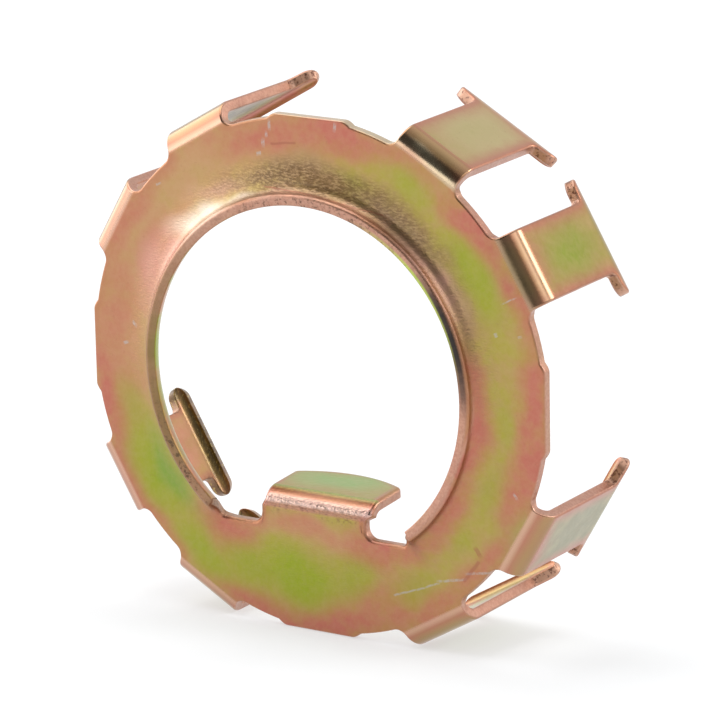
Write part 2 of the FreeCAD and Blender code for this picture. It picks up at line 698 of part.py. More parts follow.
lean = standing_lean(body.Shape.tessellate(0.02)[0])
turned = stand_up(lean)
box = body.Shape.optimalBoundingBox()
middle = FreeCAD.Vector(0, -(box.YMin + box.YMax) / 2, -box.ZMin)
body.Placement = FreeCAD.Placement(middle, turned)
doc.recompute()

for item in doc.Objects:
    if "Invalid" in item.State or "Error" in item.State:
        raise RuntimeError(f"{item.Name} was not built: {item.State}")
if body.Shape.isNull() or not body.Shape.isValid() or len(body.Shape.Solids) != 1:
    raise RuntimeError("the retainer is not one valid solid")
if not after_trim < after_notches < before_notches:
    raise RuntimeError("the notches or the tab's end were not cut")

os.makedirs("parts", exist_ok=True)
body.Shape.exportStep(f"parts/{body.Label}.step")
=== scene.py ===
"""Looks of the spindle nut retainer: one stamped and folded sheet with a yellow chromate finish.

The punched blank is laid out flat as grids of points. One mapping then carries every point, with
its depth in the sheet, to its formed place: the raised lip, the folded legs and the folded tab.
"""
import functools
import math

import bpy
import numpy as np
from mathutils import Matrix, Vector


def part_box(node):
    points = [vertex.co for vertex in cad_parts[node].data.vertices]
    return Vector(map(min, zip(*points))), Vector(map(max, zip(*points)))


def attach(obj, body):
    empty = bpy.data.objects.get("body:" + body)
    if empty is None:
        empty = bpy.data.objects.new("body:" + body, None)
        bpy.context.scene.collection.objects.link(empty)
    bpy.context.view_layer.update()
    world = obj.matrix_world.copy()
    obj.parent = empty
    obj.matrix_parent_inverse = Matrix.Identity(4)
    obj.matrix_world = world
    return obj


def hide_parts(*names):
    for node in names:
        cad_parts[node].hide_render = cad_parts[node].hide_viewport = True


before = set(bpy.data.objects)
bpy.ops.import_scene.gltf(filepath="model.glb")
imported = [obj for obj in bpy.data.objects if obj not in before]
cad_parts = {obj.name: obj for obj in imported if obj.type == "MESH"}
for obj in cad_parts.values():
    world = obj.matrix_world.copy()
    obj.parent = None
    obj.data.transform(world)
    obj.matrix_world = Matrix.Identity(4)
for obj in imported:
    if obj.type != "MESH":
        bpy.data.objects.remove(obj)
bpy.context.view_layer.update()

PART = "nut_retainer"
MM = 0.001

# Sheet, ring and lip, in millimetres. DISH_SLOPE holds the run along the sheet, in from the
# dish's start, and the slope there in degrees. FACET is its distance and half width.
SHEET = 0.9
RIM = 21.2
HOLE = 14.25
DISH_START = 18.9
DISH_SLOPE = [
    (0.0, 0.0), (0.9, 4.0), (1.8, 10.0), (2.8, 15.0), (3.4, 38.0), (4.0, 76.0), (4.42, 80.0)]
DISH_STEPS, DISH_SMOOTHING = 500, 10
FADE_END, FADE_START = math.radians(33.5), math.radians(39.5)
FACET = (21.25, 3.4)
FACET_SHOULDER = math.radians(10.6)
SHOULDER_PULL, SHOULDER_END = 0.05, 0.3
# A quarter of the ring reaches this many degrees to each side of a facet
HALF_QUARTER = 45

# Legs, LEG_FROM_FACET degrees to each side of a facet. ROOT_NOOK is how far out and to the side
# its middle lies, and its radius.
LEG_FROM_FACET = 30
LEG_ROOT = 21.1
LEG_FOLD = 1.8
LEG_DROP = 9.4
LEG_HALF = 3.1
ROOT_NOOK = (21.73, 4.0, 0.9)
ROOT_HALF = 3.357
CURL = 1.75
CURL_RUN = 2.2
LUG_END = 1.1
LUG_HALF = 5.0
LUG_NOOK = 0.6

# Tab, and the near and far side of the relief notches beside it
TAB_FOLD_START, TAB_FOLD_END = -11.5, -8.9
TAB_FLARE_START, TAB_FLARE_END = -11.3, -10.7
TAB_FOLD = 1.7
TAB_TURN = math.radians(86.5)
TAB_HALF = 5.1
TAB_RUN = 7.079
TAB_BOW = 11.0
TAB_CORNER = 0.6
TAB_SEAM = -11.9
NOTCH_FLOOR = -12.8
NOTCH_NOOK = 0.9
NOTCH_CORNER = 0.3
NOTCH_RIGHT = (4.55, 8.3)
NOTCH_LEFT = (-5.35, -9.1)

# Rolled edge that punching leaves on the front, and the finer one on the back
RIM_ROLL, HOLE_ROLL, BACK_ROLL = 0.2, 0.34, 0.12
ROLL_STEPS = 4

# How many cells each stretch of the rim has, from one quarter's start to its end
EDGE_CELLS, NOOK_CELLS, LEG_COLUMNS, RIM_CELLS, SHOULDER_CELLS, FACET_CELLS = 3, 4, 14, 5, 5, 12
# The same along the hole's bottom quarter, from left to right. Both quarters have as many cells.
LIP_LEFT_CELLS, FLANK_LEFT_CELLS, CORNER_CELLS, FLOOR_CELLS, NOTCH_NOOK_CELLS = 7, 4, 3, 4, 6
TAB_COLUMNS, FLANK_RIGHT_CELLS, LIP_RIGHT_CELLS = 32, 3, 10
TAB_FIRST = LIP_LEFT_CELLS + FLANK_LEFT_CELLS + CORNER_CELLS + FLOOR_CELLS + NOTCH_NOOK_CELLS
# Rows from the hole to the dish's start and on to the rim
LIP_ROWS, RING_ROWS = 26, 6
# Rows along a leg: nook, fold, stem, the lug's nook and the lug's end
LEG_NOOK_ROWS, LEG_FOLD_ROWS, STEM_ROWS, LUG_NOOK_ROWS, LUG_END_ROWS = 3, 10, 7, 5, 13
# Rows along the tab: flank, flare, fold, flat and half a corner
TAB_FLANK_ROWS, TAB_FLARE_ROWS, TAB_FOLD_ROWS, TAB_FLAT_ROWS, TAB_CORNER_CELLS = 2, 3, 9, 7, 3
# The angle on a corner of the tab where its long edge meets its end
CORNER_MIDDLE = 40

# The flat blank's square on its UV map, in millimetres
BLANK_SIZE = 80.0


def polar(radius, angle):
    """Points round the spindle axis: (radius cos angle, radius sin angle)."""
    return np.stack([radius * np.cos(angle), radius * np.sin(angle)], axis=-1)


def turned(points, angle):
    """Points turned about the spindle axis: the usual two by two rotation by the angle."""
    c, s = math.cos(angle), math.sin(angle)
    return points @ np.array([[c, s], [-s, c]])


def steps(start, end, count):
    """Equal steps on a line: start + t (end - start), with t from 0 up to, but not at, 1."""
    t = np.arange(count)[:, None] / count
    return (1 - t) * np.array(start, float) + t * np.array(end, float)


def bow(centre, radius, first, last, count):
    """Equal steps on an arc: centre + radius (cos a, sin a), a in degrees from first to last.

    The point at the last angle is left to the next stretch."""
    angle = np.radians(first + (last - first) * np.arange(count) / count)
    return np.array(centre, float) + polar(radius, angle)


def eased(start, pull, end, count):
    """Steps on a curve: (1-t)^2 start + 2 t (1-t) pull + t^2 end, t up to, but not at, 1."""
    t = np.arange(count)[:, None] / count
    return (1 - t) ** 2 * np.array(start) + 2 * t * (1 - t) * np.array(pull) + t**2 * np.array(end)


def leg_mouth(angle):
    """The rim across one leg's root: nook arc, straight seam, nook arc, turned to the leg."""
    out, side, nook = ROOT_NOOK
    tangent = math.degrees(math.atan2(side, out))
    corner = math.degrees(math.atan2(ROOT_HALF - side, LEG_ROOT - out)) % 360
    points = np.concatenate([
        bow((out, -side), nook, 180 - tangent, 360 - corner, NOOK_CELLS),
        steps((LEG_ROOT, -ROOT_HALF), (LEG_ROOT, ROOT_HALF), LEG_COLUMNS),
        bow((out, side), nook, corner, 180 + tangent, NOOK_CELLS),
    ])
    return turned(points, angle)


def rim_quarter():
    """A quarter of the rim about angle 0: rim arc, leg, rim arc, facet with shoulders, and back."""
    leg = math.radians(LEG_FROM_FACET)
    nook = math.atan2(ROOT_NOOK[1], ROOT_NOOK[0])
    shoulder = polar(RIM, FACET_SHOULDER)
    flat, half = FACET
    pull, end = half + SHOULDER_PULL, half - SHOULDER_END
    degrees = math.degrees
    return np.concatenate([
        bow((0, 0), RIM, -HALF_QUARTER, degrees(-leg - nook), EDGE_CELLS),
        leg_mouth(-leg),
        bow((0, 0), RIM, degrees(nook - leg), degrees(-FACET_SHOULDER), RIM_CELLS),
        eased(shoulder * (1, -1), (flat, -pull), (flat, -end), SHOULDER_CELLS),
        steps((flat, -end), (flat, end), FACET_CELLS),
        eased((flat, end), (flat, pull), shoulder, SHOULDER_CELLS),
        bow((0, 0), RIM, degrees(FACET_SHOULDER), degrees(leg - nook), RIM_CELLS),
        leg_mouth(leg),
        bow((0, 0), RIM, degrees(leg + nook), HALF_QUARTER, EDGE_CELLS),
    ])


def hole_bottom():
    """The bottom quarter of the spindle hole: lip, left notch, tab seam, right notch, lip."""
    near_r, far_r = NOTCH_RIGHT
    near_l, far_l = NOTCH_LEFT
    nook, corner, floor = NOTCH_NOOK, NOTCH_CORNER, NOTCH_FLOOR
    cut_l = -math.sqrt(HOLE**2 - far_l**2)
    cut_r = -math.sqrt(HOLE**2 - far_r**2)
    left_end = math.degrees(math.atan2(cut_l, far_l))
    right_end = math.degrees(math.atan2(cut_r, far_r))
    return np.concatenate([
        bow((0, 0), HOLE, -90 - HALF_QUARTER, left_end, LIP_LEFT_CELLS),
        steps((far_l, cut_l), (far_l, floor + corner), FLANK_LEFT_CELLS),
        bow((far_l + corner, floor + corner), corner, 180, 270, CORNER_CELLS),
        steps((far_l + corner, floor), (near_l - nook, floor), FLOOR_CELLS),
        bow((near_l - nook, TAB_SEAM), nook, -90, 0, NOTCH_NOOK_CELLS),
        steps((near_l, TAB_SEAM), (near_r, TAB_SEAM), TAB_COLUMNS),
        bow((near_r + nook, TAB_SEAM), nook, 180, 270, NOTCH_NOOK_CELLS),
        steps((near_r + nook, floor), (far_r - corner, floor), FLOOR_CELLS),
        bow((far_r - corner, floor + corner), corner, -90, 0, CORNER_CELLS),
        steps((far_r, floor + corner), (far_r, cut_r), FLANK_RIGHT_CELLS),
        bow((0, 0), HOLE, right_end, HALF_QUARTER - 90, LIP_RIGHT_CELLS),
    ])


def leg_side():
    """One long edge of a leg, in run and half width: nook, fold, stem, lug nook and lug end."""
    out, side, nook = ROOT_NOOK
    corner = math.degrees(math.atan2(ROOT_HALF - side, LEG_ROOT - out)) % 360
    fold_end = LEG_ROOT + LEG_FOLD * math.pi / 2
    lug = fold_end + LEG_DROP
    return np.concatenate([
        bow((out, side), nook, corner, 270, LEG_NOOK_ROWS),
        steps((out, LEG_HALF), (fold_end, LEG_HALF), LEG_FOLD_ROWS),
        steps((fold_end, LEG_HALF), (lug - LUG_NOOK, LEG_HALF), STEM_ROWS),
        bow((lug - LUG_NOOK, LEG_HALF + LUG_NOOK), LUG_NOOK, -90, -15, LUG_NOOK_ROWS),
        bow((lug + LUG_END, LUG_HALF - LUG_END), LUG_END, 160, 0, LUG_END_ROWS),
        [[lug + CURL_RUN, LUG_HALF - LUG_END]],
    ])


def tab_corner(side):
    """Middle of a rounded corner of the tab, inside its long edge and touching its bow."""
    across = TAB_HALF - TAB_CORNER
    drop = math.sqrt((TAB_BOW - TAB_CORNER) ** 2 - across**2)
    return side * across, TAB_FOLD_START + TAB_RUN - TAB_BOW + drop


def tab_side(near, side):
    """One long edge of the tab: flank, slant out to the full width, and half of the corner."""
    half = side * TAB_HALF
    corner = tab_corner(side)
    first, last = (0, CORNER_MIDDLE) if side > 0 else (180, 180 - CORNER_MIDDLE)
    return np.concatenate([
        steps((near, TAB_SEAM), (near, TAB_FLARE_START), TAB_FLANK_ROWS),
        steps((near, TAB_FLARE_START), (half, TAB_FLARE_END), TAB_FLARE_ROWS),
        steps((half, TAB_FLARE_END), (half, TAB_FOLD_END), TAB_FOLD_ROWS),
        steps((half, TAB_FOLD_END), (half, corner[1]), TAB_FLAT_ROWS),
        bow(corner, TAB_CORNER, first, last, TAB_CORNER_CELLS),
        bow(corner, TAB_CORNER, last, last, 1),
    ])


def tab_end():
    """The bowed end of the tab from left to right: half a corner, the bow, half a corner."""
    lean = math.degrees(math.asin((TAB_HALF - TAB_CORNER) / (TAB_BOW - TAB_CORNER)))
    left, right = tab_corner(-1), tab_corner(1)
    middle = (0, TAB_FOLD_START + TAB_RUN - TAB_BOW)
    bow_cells = TAB_COLUMNS - 2 * TAB_CORNER_CELLS
    return np.concatenate([
        bow(left, TAB_CORNER, 180 - CORNER_MIDDLE, 90 + lean, TAB_CORNER_CELLS),
        bow(middle, TAB_BOW, 90 + lean, 90 - lean, bow_cells),
        bow(right, TAB_CORNER, 90 - lean, CORNER_MIDDLE, TAB_CORNER_CELLS),
        bow(right, TAB_CORNER, CORNER_MIDDLE, CORNER_MIDDLE, 1),
    ])


# Kinds of point: on the ring, the tab or a leg
ON_RING, ON_TAB, ON_LEG = 0, 1, 2


class Blank:
    """The flat blank: numbers of its points on shared grids, its outline and two closed edges."""

    def __init__(self):
        quarters = [turned(rim_quarter(), math.radians(90 * k)) for k in range(4)]
        rim = np.concatenate(quarters)
        self.columns = len(rim)
        quarter = self.columns // 4
        angle = np.arctan2(rim[:, 1], rim[:, 0])
        hole = polar(HOLE, angle)
        hole[3 * quarter:] = hole_bottom()
        rows = LIP_ROWS + RING_ROWS
        self.ring = np.arange((rows + 1) * self.columns).reshape(rows + 1, self.columns)
        count = self.ring.size
        side = leg_side()
        self.legs = []
        for k in range(4):
            for first in (EDGE_CELLS + NOOK_CELLS, quarter - EDGE_CELLS - NOOK_CELLS - LEG_COLUMNS):
                cells = (k * quarter + first + np.arange(LEG_COLUMNS + 1)) % self.columns
                new = count + np.arange((len(side) - 1) * (LEG_COLUMNS + 1))
                grid = np.concatenate([self.ring[-1:, cells], new.reshape(-1, LEG_COLUMNS + 1)])
                self.legs.append(grid)
                count += new.size
        self.tab_cells = 3 * quarter + TAB_FIRST + np.arange(TAB_COLUMNS + 1)
        right, left = tab_side(NOTCH_RIGHT[0], 1), tab_side(NOTCH_LEFT[0], -1)
        new = count + np.arange((len(right) - 1) * (TAB_COLUMNS + 1))
        self.tab = np.concatenate([self.ring[:1, self.tab_cells], new.reshape(-1, TAB_COLUMNS + 1)])
        count += new.size
        self.count = count

        self.flat = np.zeros((count, 2))
        self.flat[self.ring[-1]] = rim
        self.flat[self.ring[0]] = hole
        self.kind = np.full(count, ON_RING)
        self.heading = np.zeros(count)
        for number, grid in enumerate(self.legs):
            from_facet = -LEG_FROM_FACET if number % 2 == 0 else LEG_FROM_FACET
            heading = math.radians(90 * (number // 2) + from_facet)
            self.kind[grid[1:]] = ON_LEG
            self.heading[grid[1:]] = heading
            self.flat[grid[:, -1]] = turned(side, heading)
            self.flat[grid[:, 0]] = turned(side * (1, -1), heading)
            share = np.linspace(0, 1, LEG_COLUMNS + 1)[:, None]
            tip = side[-1] * (1, -1) + share * side[-1] * (0, 2)
            self.flat[grid[-1]] = turned(tip, heading)
        self.kind[self.tab[1:]] = ON_TAB
        self.flat[self.tab[:, -1]] = right
        self.flat[self.tab[:, 0]] = left
        self.flat[self.tab[-1]] = tab_end()
        self.loops = [self.outer_loop(), self.inner_loop()]
        self.outward = np.zeros((count, 2))
        self.front_roll = np.zeros((count, 1))
        for loop, roll in zip(self.loops, (RIM_ROLL, HOLE_ROLL)):
            self.outward[loop] = outward(self.flat[loop])
            self.front_roll[loop] = roll

    def outer_loop(self):
        """Numbers of the rim's points in order, going out and back round every leg."""
        taken = np.full(self.columns, -1)
        for number, grid in enumerate(self.legs):
            taken[grid[0] - self.ring[-1, 0]] = number
        pieces, j = [], 0
        while j < self.columns:
            if taken[j] < 0:
                pieces.append(self.ring[-1, j:j + 1])
                j += 1
            else:
                grid = self.legs[taken[j]]
                pieces += [grid[:, 0], grid[-1, 1:-1], grid[::-1, -1]]
                j += LEG_COLUMNS + 1
        return np.concatenate(pieces)

    def inner_loop(self):
        """Numbers of the hole's points in the opposite order: the sheet stays on the left."""
        first, last = self.tab_cells[0], self.tab_cells[-1]
        row, tab = self.ring[0], self.tab
        round_tab = [tab[:, 0], tab[-1, 1:-1], tab[::-1, -1]]
        return np.concatenate([row[:first], *round_tab, row[last + 1:]])[::-1]

    def laid(self, inset):
        """All points of one face, flat: the outline drawn in by the inset, and the grids filled in.

        Ring cells are on straight lines from the hole to the dish's start and on to the rim. A
        leg and the tab are filled from their four edges: the sum of both straight fills less the
        fill of the corners."""
        flat = self.flat - inset * self.outward
        ring = self.ring
        rim = flat[ring[-1]]
        start = polar(DISH_START, np.arctan2(rim[:, 1], rim[:, 0]))
        t = (np.arange(LIP_ROWS) / LIP_ROWS)[:, None, None]
        flat[ring[:LIP_ROWS]] = (1 - t) * flat[ring[0]] + t * start
        t = (np.arange(RING_ROWS + 1) / RING_ROWS)[:, None, None]
        flat[ring[LIP_ROWS:]] = (1 - t) * start + t * rim
        for grid in self.legs + [self.tab]:
            u = np.linspace(0, 1, grid.shape[1])[None, :, None]
            v = np.linspace(0, 1, grid.shape[0])[:, None, None]
            edge = flat[grid]
            across = (1 - u) * edge[:, :1] + u * edge[:, -1:]
            along = (1 - v) * edge[:1] + v * edge[-1:]
            corners = (1 - v) * across[:1] + v * across[-1:]
            flat[grid] = across + along - corners
        return flat


def outward(points):
    """Unit directions square to a closed loop, on its right: mean of the next and last side."""
    ahead = np.roll(points, -1, axis=0) - points
    behind = points - np.roll(points, 1, axis=0)
    ahead /= np.linalg.norm(ahead, axis=1)[:, None]
    behind /= np.linalg.norm(behind, axis=1)[:, None]
    along = ahead + behind
    along /= np.linalg.norm(along, axis=1)[:, None]
    return np.stack([along[:, 1], -along[:, 0]], axis=1)


def ease(t):
    """Smooth step: 3 t^2 - 2 t^3 with t held between 0 and 1."""
    t = np.clip(t, 0, 1)
    return t * t * (3 - 2 * t)


def dished(flat):
    """Ring and lip: past the dish's start the face's slope grows to 80 degrees at the lip's end.

    Along the sheet, inward = sum of cos slope and rise = sum of sin slope, added up on a fine
    scale and read off at every point's distance in from the start, with the slopes smoothed by a
    running mean. Beside the tab the lip dies out, so there a point is a mix of its flat and its
    formed place."""
    radius = np.hypot(flat[:, 0], flat[:, 1])
    path = np.linspace(0, DISH_SLOPE[-1][0], DISH_STEPS)
    slope = np.radians(np.interp(path, *zip(*DISH_SLOPE)))
    window = 2 * DISH_SMOOTHING + 1
    padded = np.pad(slope, DISH_SMOOTHING, mode="reflect", reflect_type="odd")
    slope = np.convolve(padded, np.full(window, 1 / window), mode="valid")
    middle = (slope[1:] + slope[:-1]) / 2
    inward = np.concatenate([[0], np.cumsum(np.cos(middle))]) * path[1]
    rise = np.concatenate([[0], np.cumsum(np.sin(middle))]) * path[1]
    gone = np.maximum(DISH_START - radius, 0) / (DISH_START - HOLE) * path[-1]
    formed = np.where(radius < DISH_START, DISH_START - np.interp(gone, path, inward), radius)
    beside = np.abs(np.arctan2(flat[:, 0], -flat[:, 1]))
    height = ease((beside - FADE_END) / (FADE_START - FADE_END))
    scale = 1 + height * (formed / radius - 1)
    lift = height * np.interp(gone, path, rise)
    return np.stack([flat[:, 0] * scale, flat[:, 1] * scale, lift], axis=1)


def tab_folded(flat):
    """Tab: straight on to the fold, an arc of 1.7 through 86.5 degrees, then straight back."""
    run = flat[:, 1] - TAB_FOLD_START
    turn = np.clip(run / TAB_FOLD, 0, TAB_TURN)
    past = np.maximum(run - TAB_FOLD * TAB_TURN, 0)
    before = np.minimum(flat[:, 1], TAB_FOLD_START)
    up = before + TAB_FOLD * np.sin(turn) + past * math.cos(TAB_TURN)
    front = -TAB_FOLD * (1 - np.cos(turn)) - past * math.sin(TAB_TURN)
    return np.stack([flat[:, 0], up, front], axis=1)


def leg_folded(flat, heading):
    """Leg: out to the root, an arc of 1.8 through a right angle, straight back, then the curl."""
    c, s = np.cos(heading), np.sin(heading)
    run = flat[:, 0] * c + flat[:, 1] * s
    side = flat[:, 1] * c - flat[:, 0] * s
    turn = np.clip((run - LEG_ROOT) / LEG_FOLD, 0, math.pi / 2)
    back = run - LEG_ROOT - LEG_FOLD * math.pi / 2
    curl = np.maximum(back - LEG_DROP, 0) / CURL
    out = np.minimum(run, LEG_ROOT) + LEG_FOLD * np.sin(turn) - CURL * (1 - np.cos(curl))
    front = -LEG_FOLD * (1 - np.cos(turn)) - np.clip(back, 0, LEG_DROP) - CURL * np.sin(curl)
    return np.stack([out * c - side * s, out * s + side * c, front], axis=1)


def front_face(flat, kind, heading):
    """The front face's place of every flat point, by the kind of its piece: ring, tab or leg."""
    place = dished(flat)
    tab, leg = kind == ON_TAB, kind == ON_LEG
    place[tab] = tab_folded(flat[tab])
    place[leg] = leg_folded(flat[leg], heading[leg])
    return place


# Step over which the face's slopes are taken, in millimetres
SMALL_STEP = 1e-3


def formed(flat, depth, kind, heading, direction, tilt):
    """Formed place and normal of every point: the face less depth times its normal.

    The normal is the cross product of the face's two slopes, taken over a small step. On a rolled
    edge it is cos tilt times the normal plus sin tilt times the formed direction."""
    slope_x, slope_y = (
        front_face(flat + step, kind, heading) - front_face(flat - step, kind, heading)
        for step in ((SMALL_STEP, 0), (0, SMALL_STEP)))
    normal = np.cross(slope_x, slope_y)
    normal /= np.linalg.norm(normal, axis=1)[:, None]
    side = slope_x * direction[:, :1] + slope_y * direction[:, 1:]
    side /= np.maximum(np.linalg.norm(side, axis=1), 1e-9)[:, None]
    place = front_face(flat, kind, heading) - depth[:, None] * normal
    return place, np.cos(tilt)[:, None] * normal + np.sin(tilt)[:, None] * side


def edge_profile(roll):
    """Out, depth and tilt round the cut edge: rolled front corner, straight wall, back corner.

    A corner is an arc: out = r (sin a - 1) and depth = r (1 - cos a), with a the tilt."""
    a = np.linspace(0, math.pi / 2, ROLL_STEPS + 1)
    front = np.stack([roll * (np.sin(a) - 1), roll * (1 - np.cos(a)), a], axis=1)
    b = a + math.pi / 2
    back = np.stack([BACK_ROLL * (np.sin(b) - 1), SHEET - BACK_ROLL * (1 + np.cos(b)), b], axis=1)
    return np.concatenate([front, back])


def grid_quads(numbers, closed=False):
    """Quads of a grid of point numbers: each cell's four corners, going round.

    On a closed grid the first column follows the last."""
    if closed:
        numbers = np.concatenate([numbers, numbers[:, :1]], axis=1)
    corners = [numbers[:-1, :-1], numbers[1:, :-1], numbers[1:, 1:], numbers[:-1, 1:]]
    return np.stack(corners, axis=-1).reshape(-1, 4)


# Distances are worked out in this many blocks, to save memory
DISTANCE_BLOCKS = 60


def distance_to(points, loop):
    """Least distance of every point to a closed loop's points, a block of points at a time."""
    blocks = np.array_split(points, DISTANCE_BLOCKS)
    squares = [((block[:, None] - loop[None]) ** 2).sum(-1).min(1) for block in blocks]
    return np.sqrt(np.concatenate(squares))


# Clouds on the flat blank, of the film's own tones and of painted highlights and shade: angle,
# radius, half length, half width, turn, strength
CLOUDS = {
    "green": [
        (34, 18.0, 3.6, 1.6, 0, 0.8), (60, 19.0, 2.0, 1.3, 0, 0.55),
        (76, 16.9, 1.6, 1.0, 0, 0.6), (197, 18.4, 3.2, 1.6, 0, 0.5),
        (213, 18.0, 5.2, 2.2, 0, 0.85), (236, 19.4, 3.4, 1.6, 0, 0.8),
        (251, 17.8, 3.6, 2.2, 0, 0.75), (264, 16.9, 4.4, 2.3, 0, 1.0),
        (281, 16.4, 2.6, 1.8, 30, 0.6), (300, 18.6, 2.6, 1.0, 0, 0.5),
        (320, 17.6, 1.2, 0.8, 0, 0.35), (338, 18.0, 2.2, 1.0, 0, 0.4),
        (354, 17.6, 1.6, 0.8, 0, 0.35), (30, 28.6, 1.9, 3.4, 0, 0.9),
        (60, 28.6, 2.0, 4.0, 0, 0.25), (120, 30.2, 2.6, 2.4, 0, 0.7),
        (300, 29.0, 2.5, 4.5, 0, 0.6),
    ],
    "teal": [(215, 17.0, 3.4, 1.0, 0, 0.7)],
    "mint": [(268, 6.4, 4.0, 1.9, 0, 1.0)],
    "pink": [
        (3, 20.7, 4.0, 1.3, 0, 1.0), (24, 20.9, 4.4, 1.2, 0, 0.85),
        (42, 20.6, 4.4, 1.3, 0, 1.0), (66, 20.9, 4.0, 1.0, 0, 0.6),
        (82, 20.5, 5.0, 1.6, 0, 1.0), (94, 19.5, 5.0, 1.9, 0, 0.8),
        (110, 20.9, 5.0, 1.0, 0, 0.5), (102, 20.0, 5.0, 1.5, 0, 0.85),
        (150, 16.6, 4.6, 2.0, 0, 0.75), (150, 20.7, 4.6, 1.3, 0, 0.7),
        (172, 19.4, 6.5, 2.8, 0, 0.55), (187, 19.0, 4.0, 3.4, 0, 0.5),
        (192, 20.6, 5.6, 1.4, 0, 1.0), (213, 20.9, 5.0, 1.2, 0, 0.9),
        (256, 21.0, 5.6, 1.2, 0, 1.0), (275, 20.6, 5.6, 1.6, 0, 0.95),
        (289, 19.6, 5.0, 2.2, 0, 0.7), (303, 20.6, 4.0, 1.3, 0, 0.8),
        (238, 15.8, 2.8, 1.8, 10, 1.0), (292, 14.7, 3.4, 1.8, -25, 1.0),
        (304, 15.8, 4.0, 1.4, 0, 0.8), (320, 20.4, 4.6, 1.2, 0, 0.75),
        (326, 15.0, 5.0, 1.5, 0, 0.9), (348, 15.0, 6.0, 1.4, 0, 0.95),
        (347, 20.2, 6.0, 1.7, 0, 1.0), (8, 15.3, 4.0, 1.1, 0, 0.8),
        (330, 23.4, 3.4, 1.5, 0, 0.9), (264, 12.8, 4.0, 0.9, 0, 0.5),
        (60, 33.6, 5.0, 1.2, 0, 0.6), (66, 29.0, 1.2, 5.0, 0, 0.5),
        (30, 24.6, 4.0, 1.0, 0, 0.6), (210, 28.0, 5.0, 6.0, 0, 0.9),
        (150, 28.0, 5.0, 7.0, 0, 0.9), (120, 34.0, 6.0, 2.0, 0, 1.0),
    ],
    "peach": [
        (122, 19.2, 9.0, 3.2, 0, 0.9), (150, 18.8, 8.0, 3.6, 0, 0.9),
        (176, 18.4, 6.0, 3.8, 0, 0.9), (98, 19.6, 5.0, 2.0, 0, 0.6),
        (60, 28.6, 4.0, 7.0, 0, 0.5), (188, 16.0, 3.0, 1.5, 0, 0.5),
        (268, 12.9, 6.0, 1.2, 0, 0.9),
    ],
    # These pale patches on the upper left of the dish are a painted highlight
    "pale": [
        (133, 16.3, 2.4, 0.9, -24, 0.85), (124, 15.5, 2.6, 0.9, -24, 1.0),
        (114, 14.8, 2.6, 0.6, -10, 0.8), (126, 14.7, 3.2, 0.6, 0, 0.9),
    ],
    # These lighter pink patches are painted highlights on the dish and the lip's slopes, with a
    # little of the film's own pink on the lower left leg's stem
    "blush": [
        (145, 15.4, 3.4, 1.6, 0, 0.9), (152, 16.4, 4.0, 1.6, 0, 0.6),
        (120, 16.8, 3.0, 0.8, -20, 0.5), (44, 14.8, 6.2, 1.0, 0, 0.9),
        (86, 14.5, 6.0, 0.9, 0, 0.8), (332, 14.5, 8.0, 0.22, 0, 0.7),
        (150, 14.8, 4.0, 0.6, 0, 0.8), (210, 28.0, 5.0, 6.0, 0, 0.2),
    ],
    "umber": [
        (92, 16.5, 5.5, 1.6, 0, 1.0), (62, 16.3, 6.0, 1.2, 0, 0.8),
        (30, 15.9, 4.0, 0.6, 0, 0.7),
    ],
    "slate": [(330, 29.6, 6.0, 7.6, 0, 1.0)],
    # Painted shade on the inner face of the upper left leg
    "underside_shade": [(120, 27.0, 4.0, 5.0, 0, 1.0)],
    # Legs whose folds take the banded tones, painted highlights and dark bands
    "banded": [(30, 22.5, 5.0, 3.0, 0, 1.0), (60, 22.5, 5.0, 3.0, 0, 0.35)],
    # Painted shade along the tab's seam, broken into flecks
    "seam": [(270, 11.2, 5.2, 0.42, 0, 1.0)],
    "khaki": [(60, 29.4, 3.6, 5.2, 0, 1.0)],
    # Painted shade: these darken the upper right and the lower left leg
    "dim": [(30, 28.6, 5.0, 7.0, 0, 0.2), (210, 28.0, 5.0, 7.0, 0, 0.1)],
    # Painted shade in the curls of the lower left hooks, and on their ends
    "trough": [(210, 35.0, 7.0, 2.0, 0, 1.0), (240, 35.0, 7.0, 2.0, 0, 0.6)],
    "hook_ends": [(a, 33.7, 1.1, 1.7, 0, 1.0) for a in (202.6, 217.4, 232.6, 247.4)],
    # A painted highlight: a cream line where the fold of the leg at 60 degrees begins
    "crease": [(60, 21.65, 3.6, 0.45, 0, 1.0)],
    "notch": [(270, 13.0, 11.0, 3.6, 0, 1.0)],
    # Painted shade high on the dish: a dark reflection laid into the colour
    "painted_dark": [
        (74, 16.5, 9.0, 1.9, 0, 0.8), (95, 16.2, 6.0, 2.0, 0, 1.0),
        (112, 17.4, 5.0, 1.7, 0, 0.5),
    ],
    # Painted light on the cut edges: a brown stretch of shade, a pale highlight on the rim's top, a
    # black dark reflection and a green glint
    "edge_brown": [(190, 14.2, 12.0, 2.5, 0, 1.0)],
    "edge_pale": [(82, 21.4, 9.0, 0.9, 0, 0.9)],
    "edge_black": [(21, 14.2, 4.4, 2.5, 0, 1.0)],
    "edge_green": [(40, 14.2, 5.4, 2.5, 0, 1.0)],
    "edge_speck": [(85, 14.2, 8.0, 2.5, 0, 0.8), (214, 14.2, 5.0, 2.5, 0, 1.0)],
}
# A cloud whose middle lies between these radii bends round with the ring
BENT_CLOUDS = (13.5, 21.5)
# Where a cloud has gone, over its half sizes, and how far it takes to fade
CLOUD_END, CLOUD_FADE = 1.6, 1.4


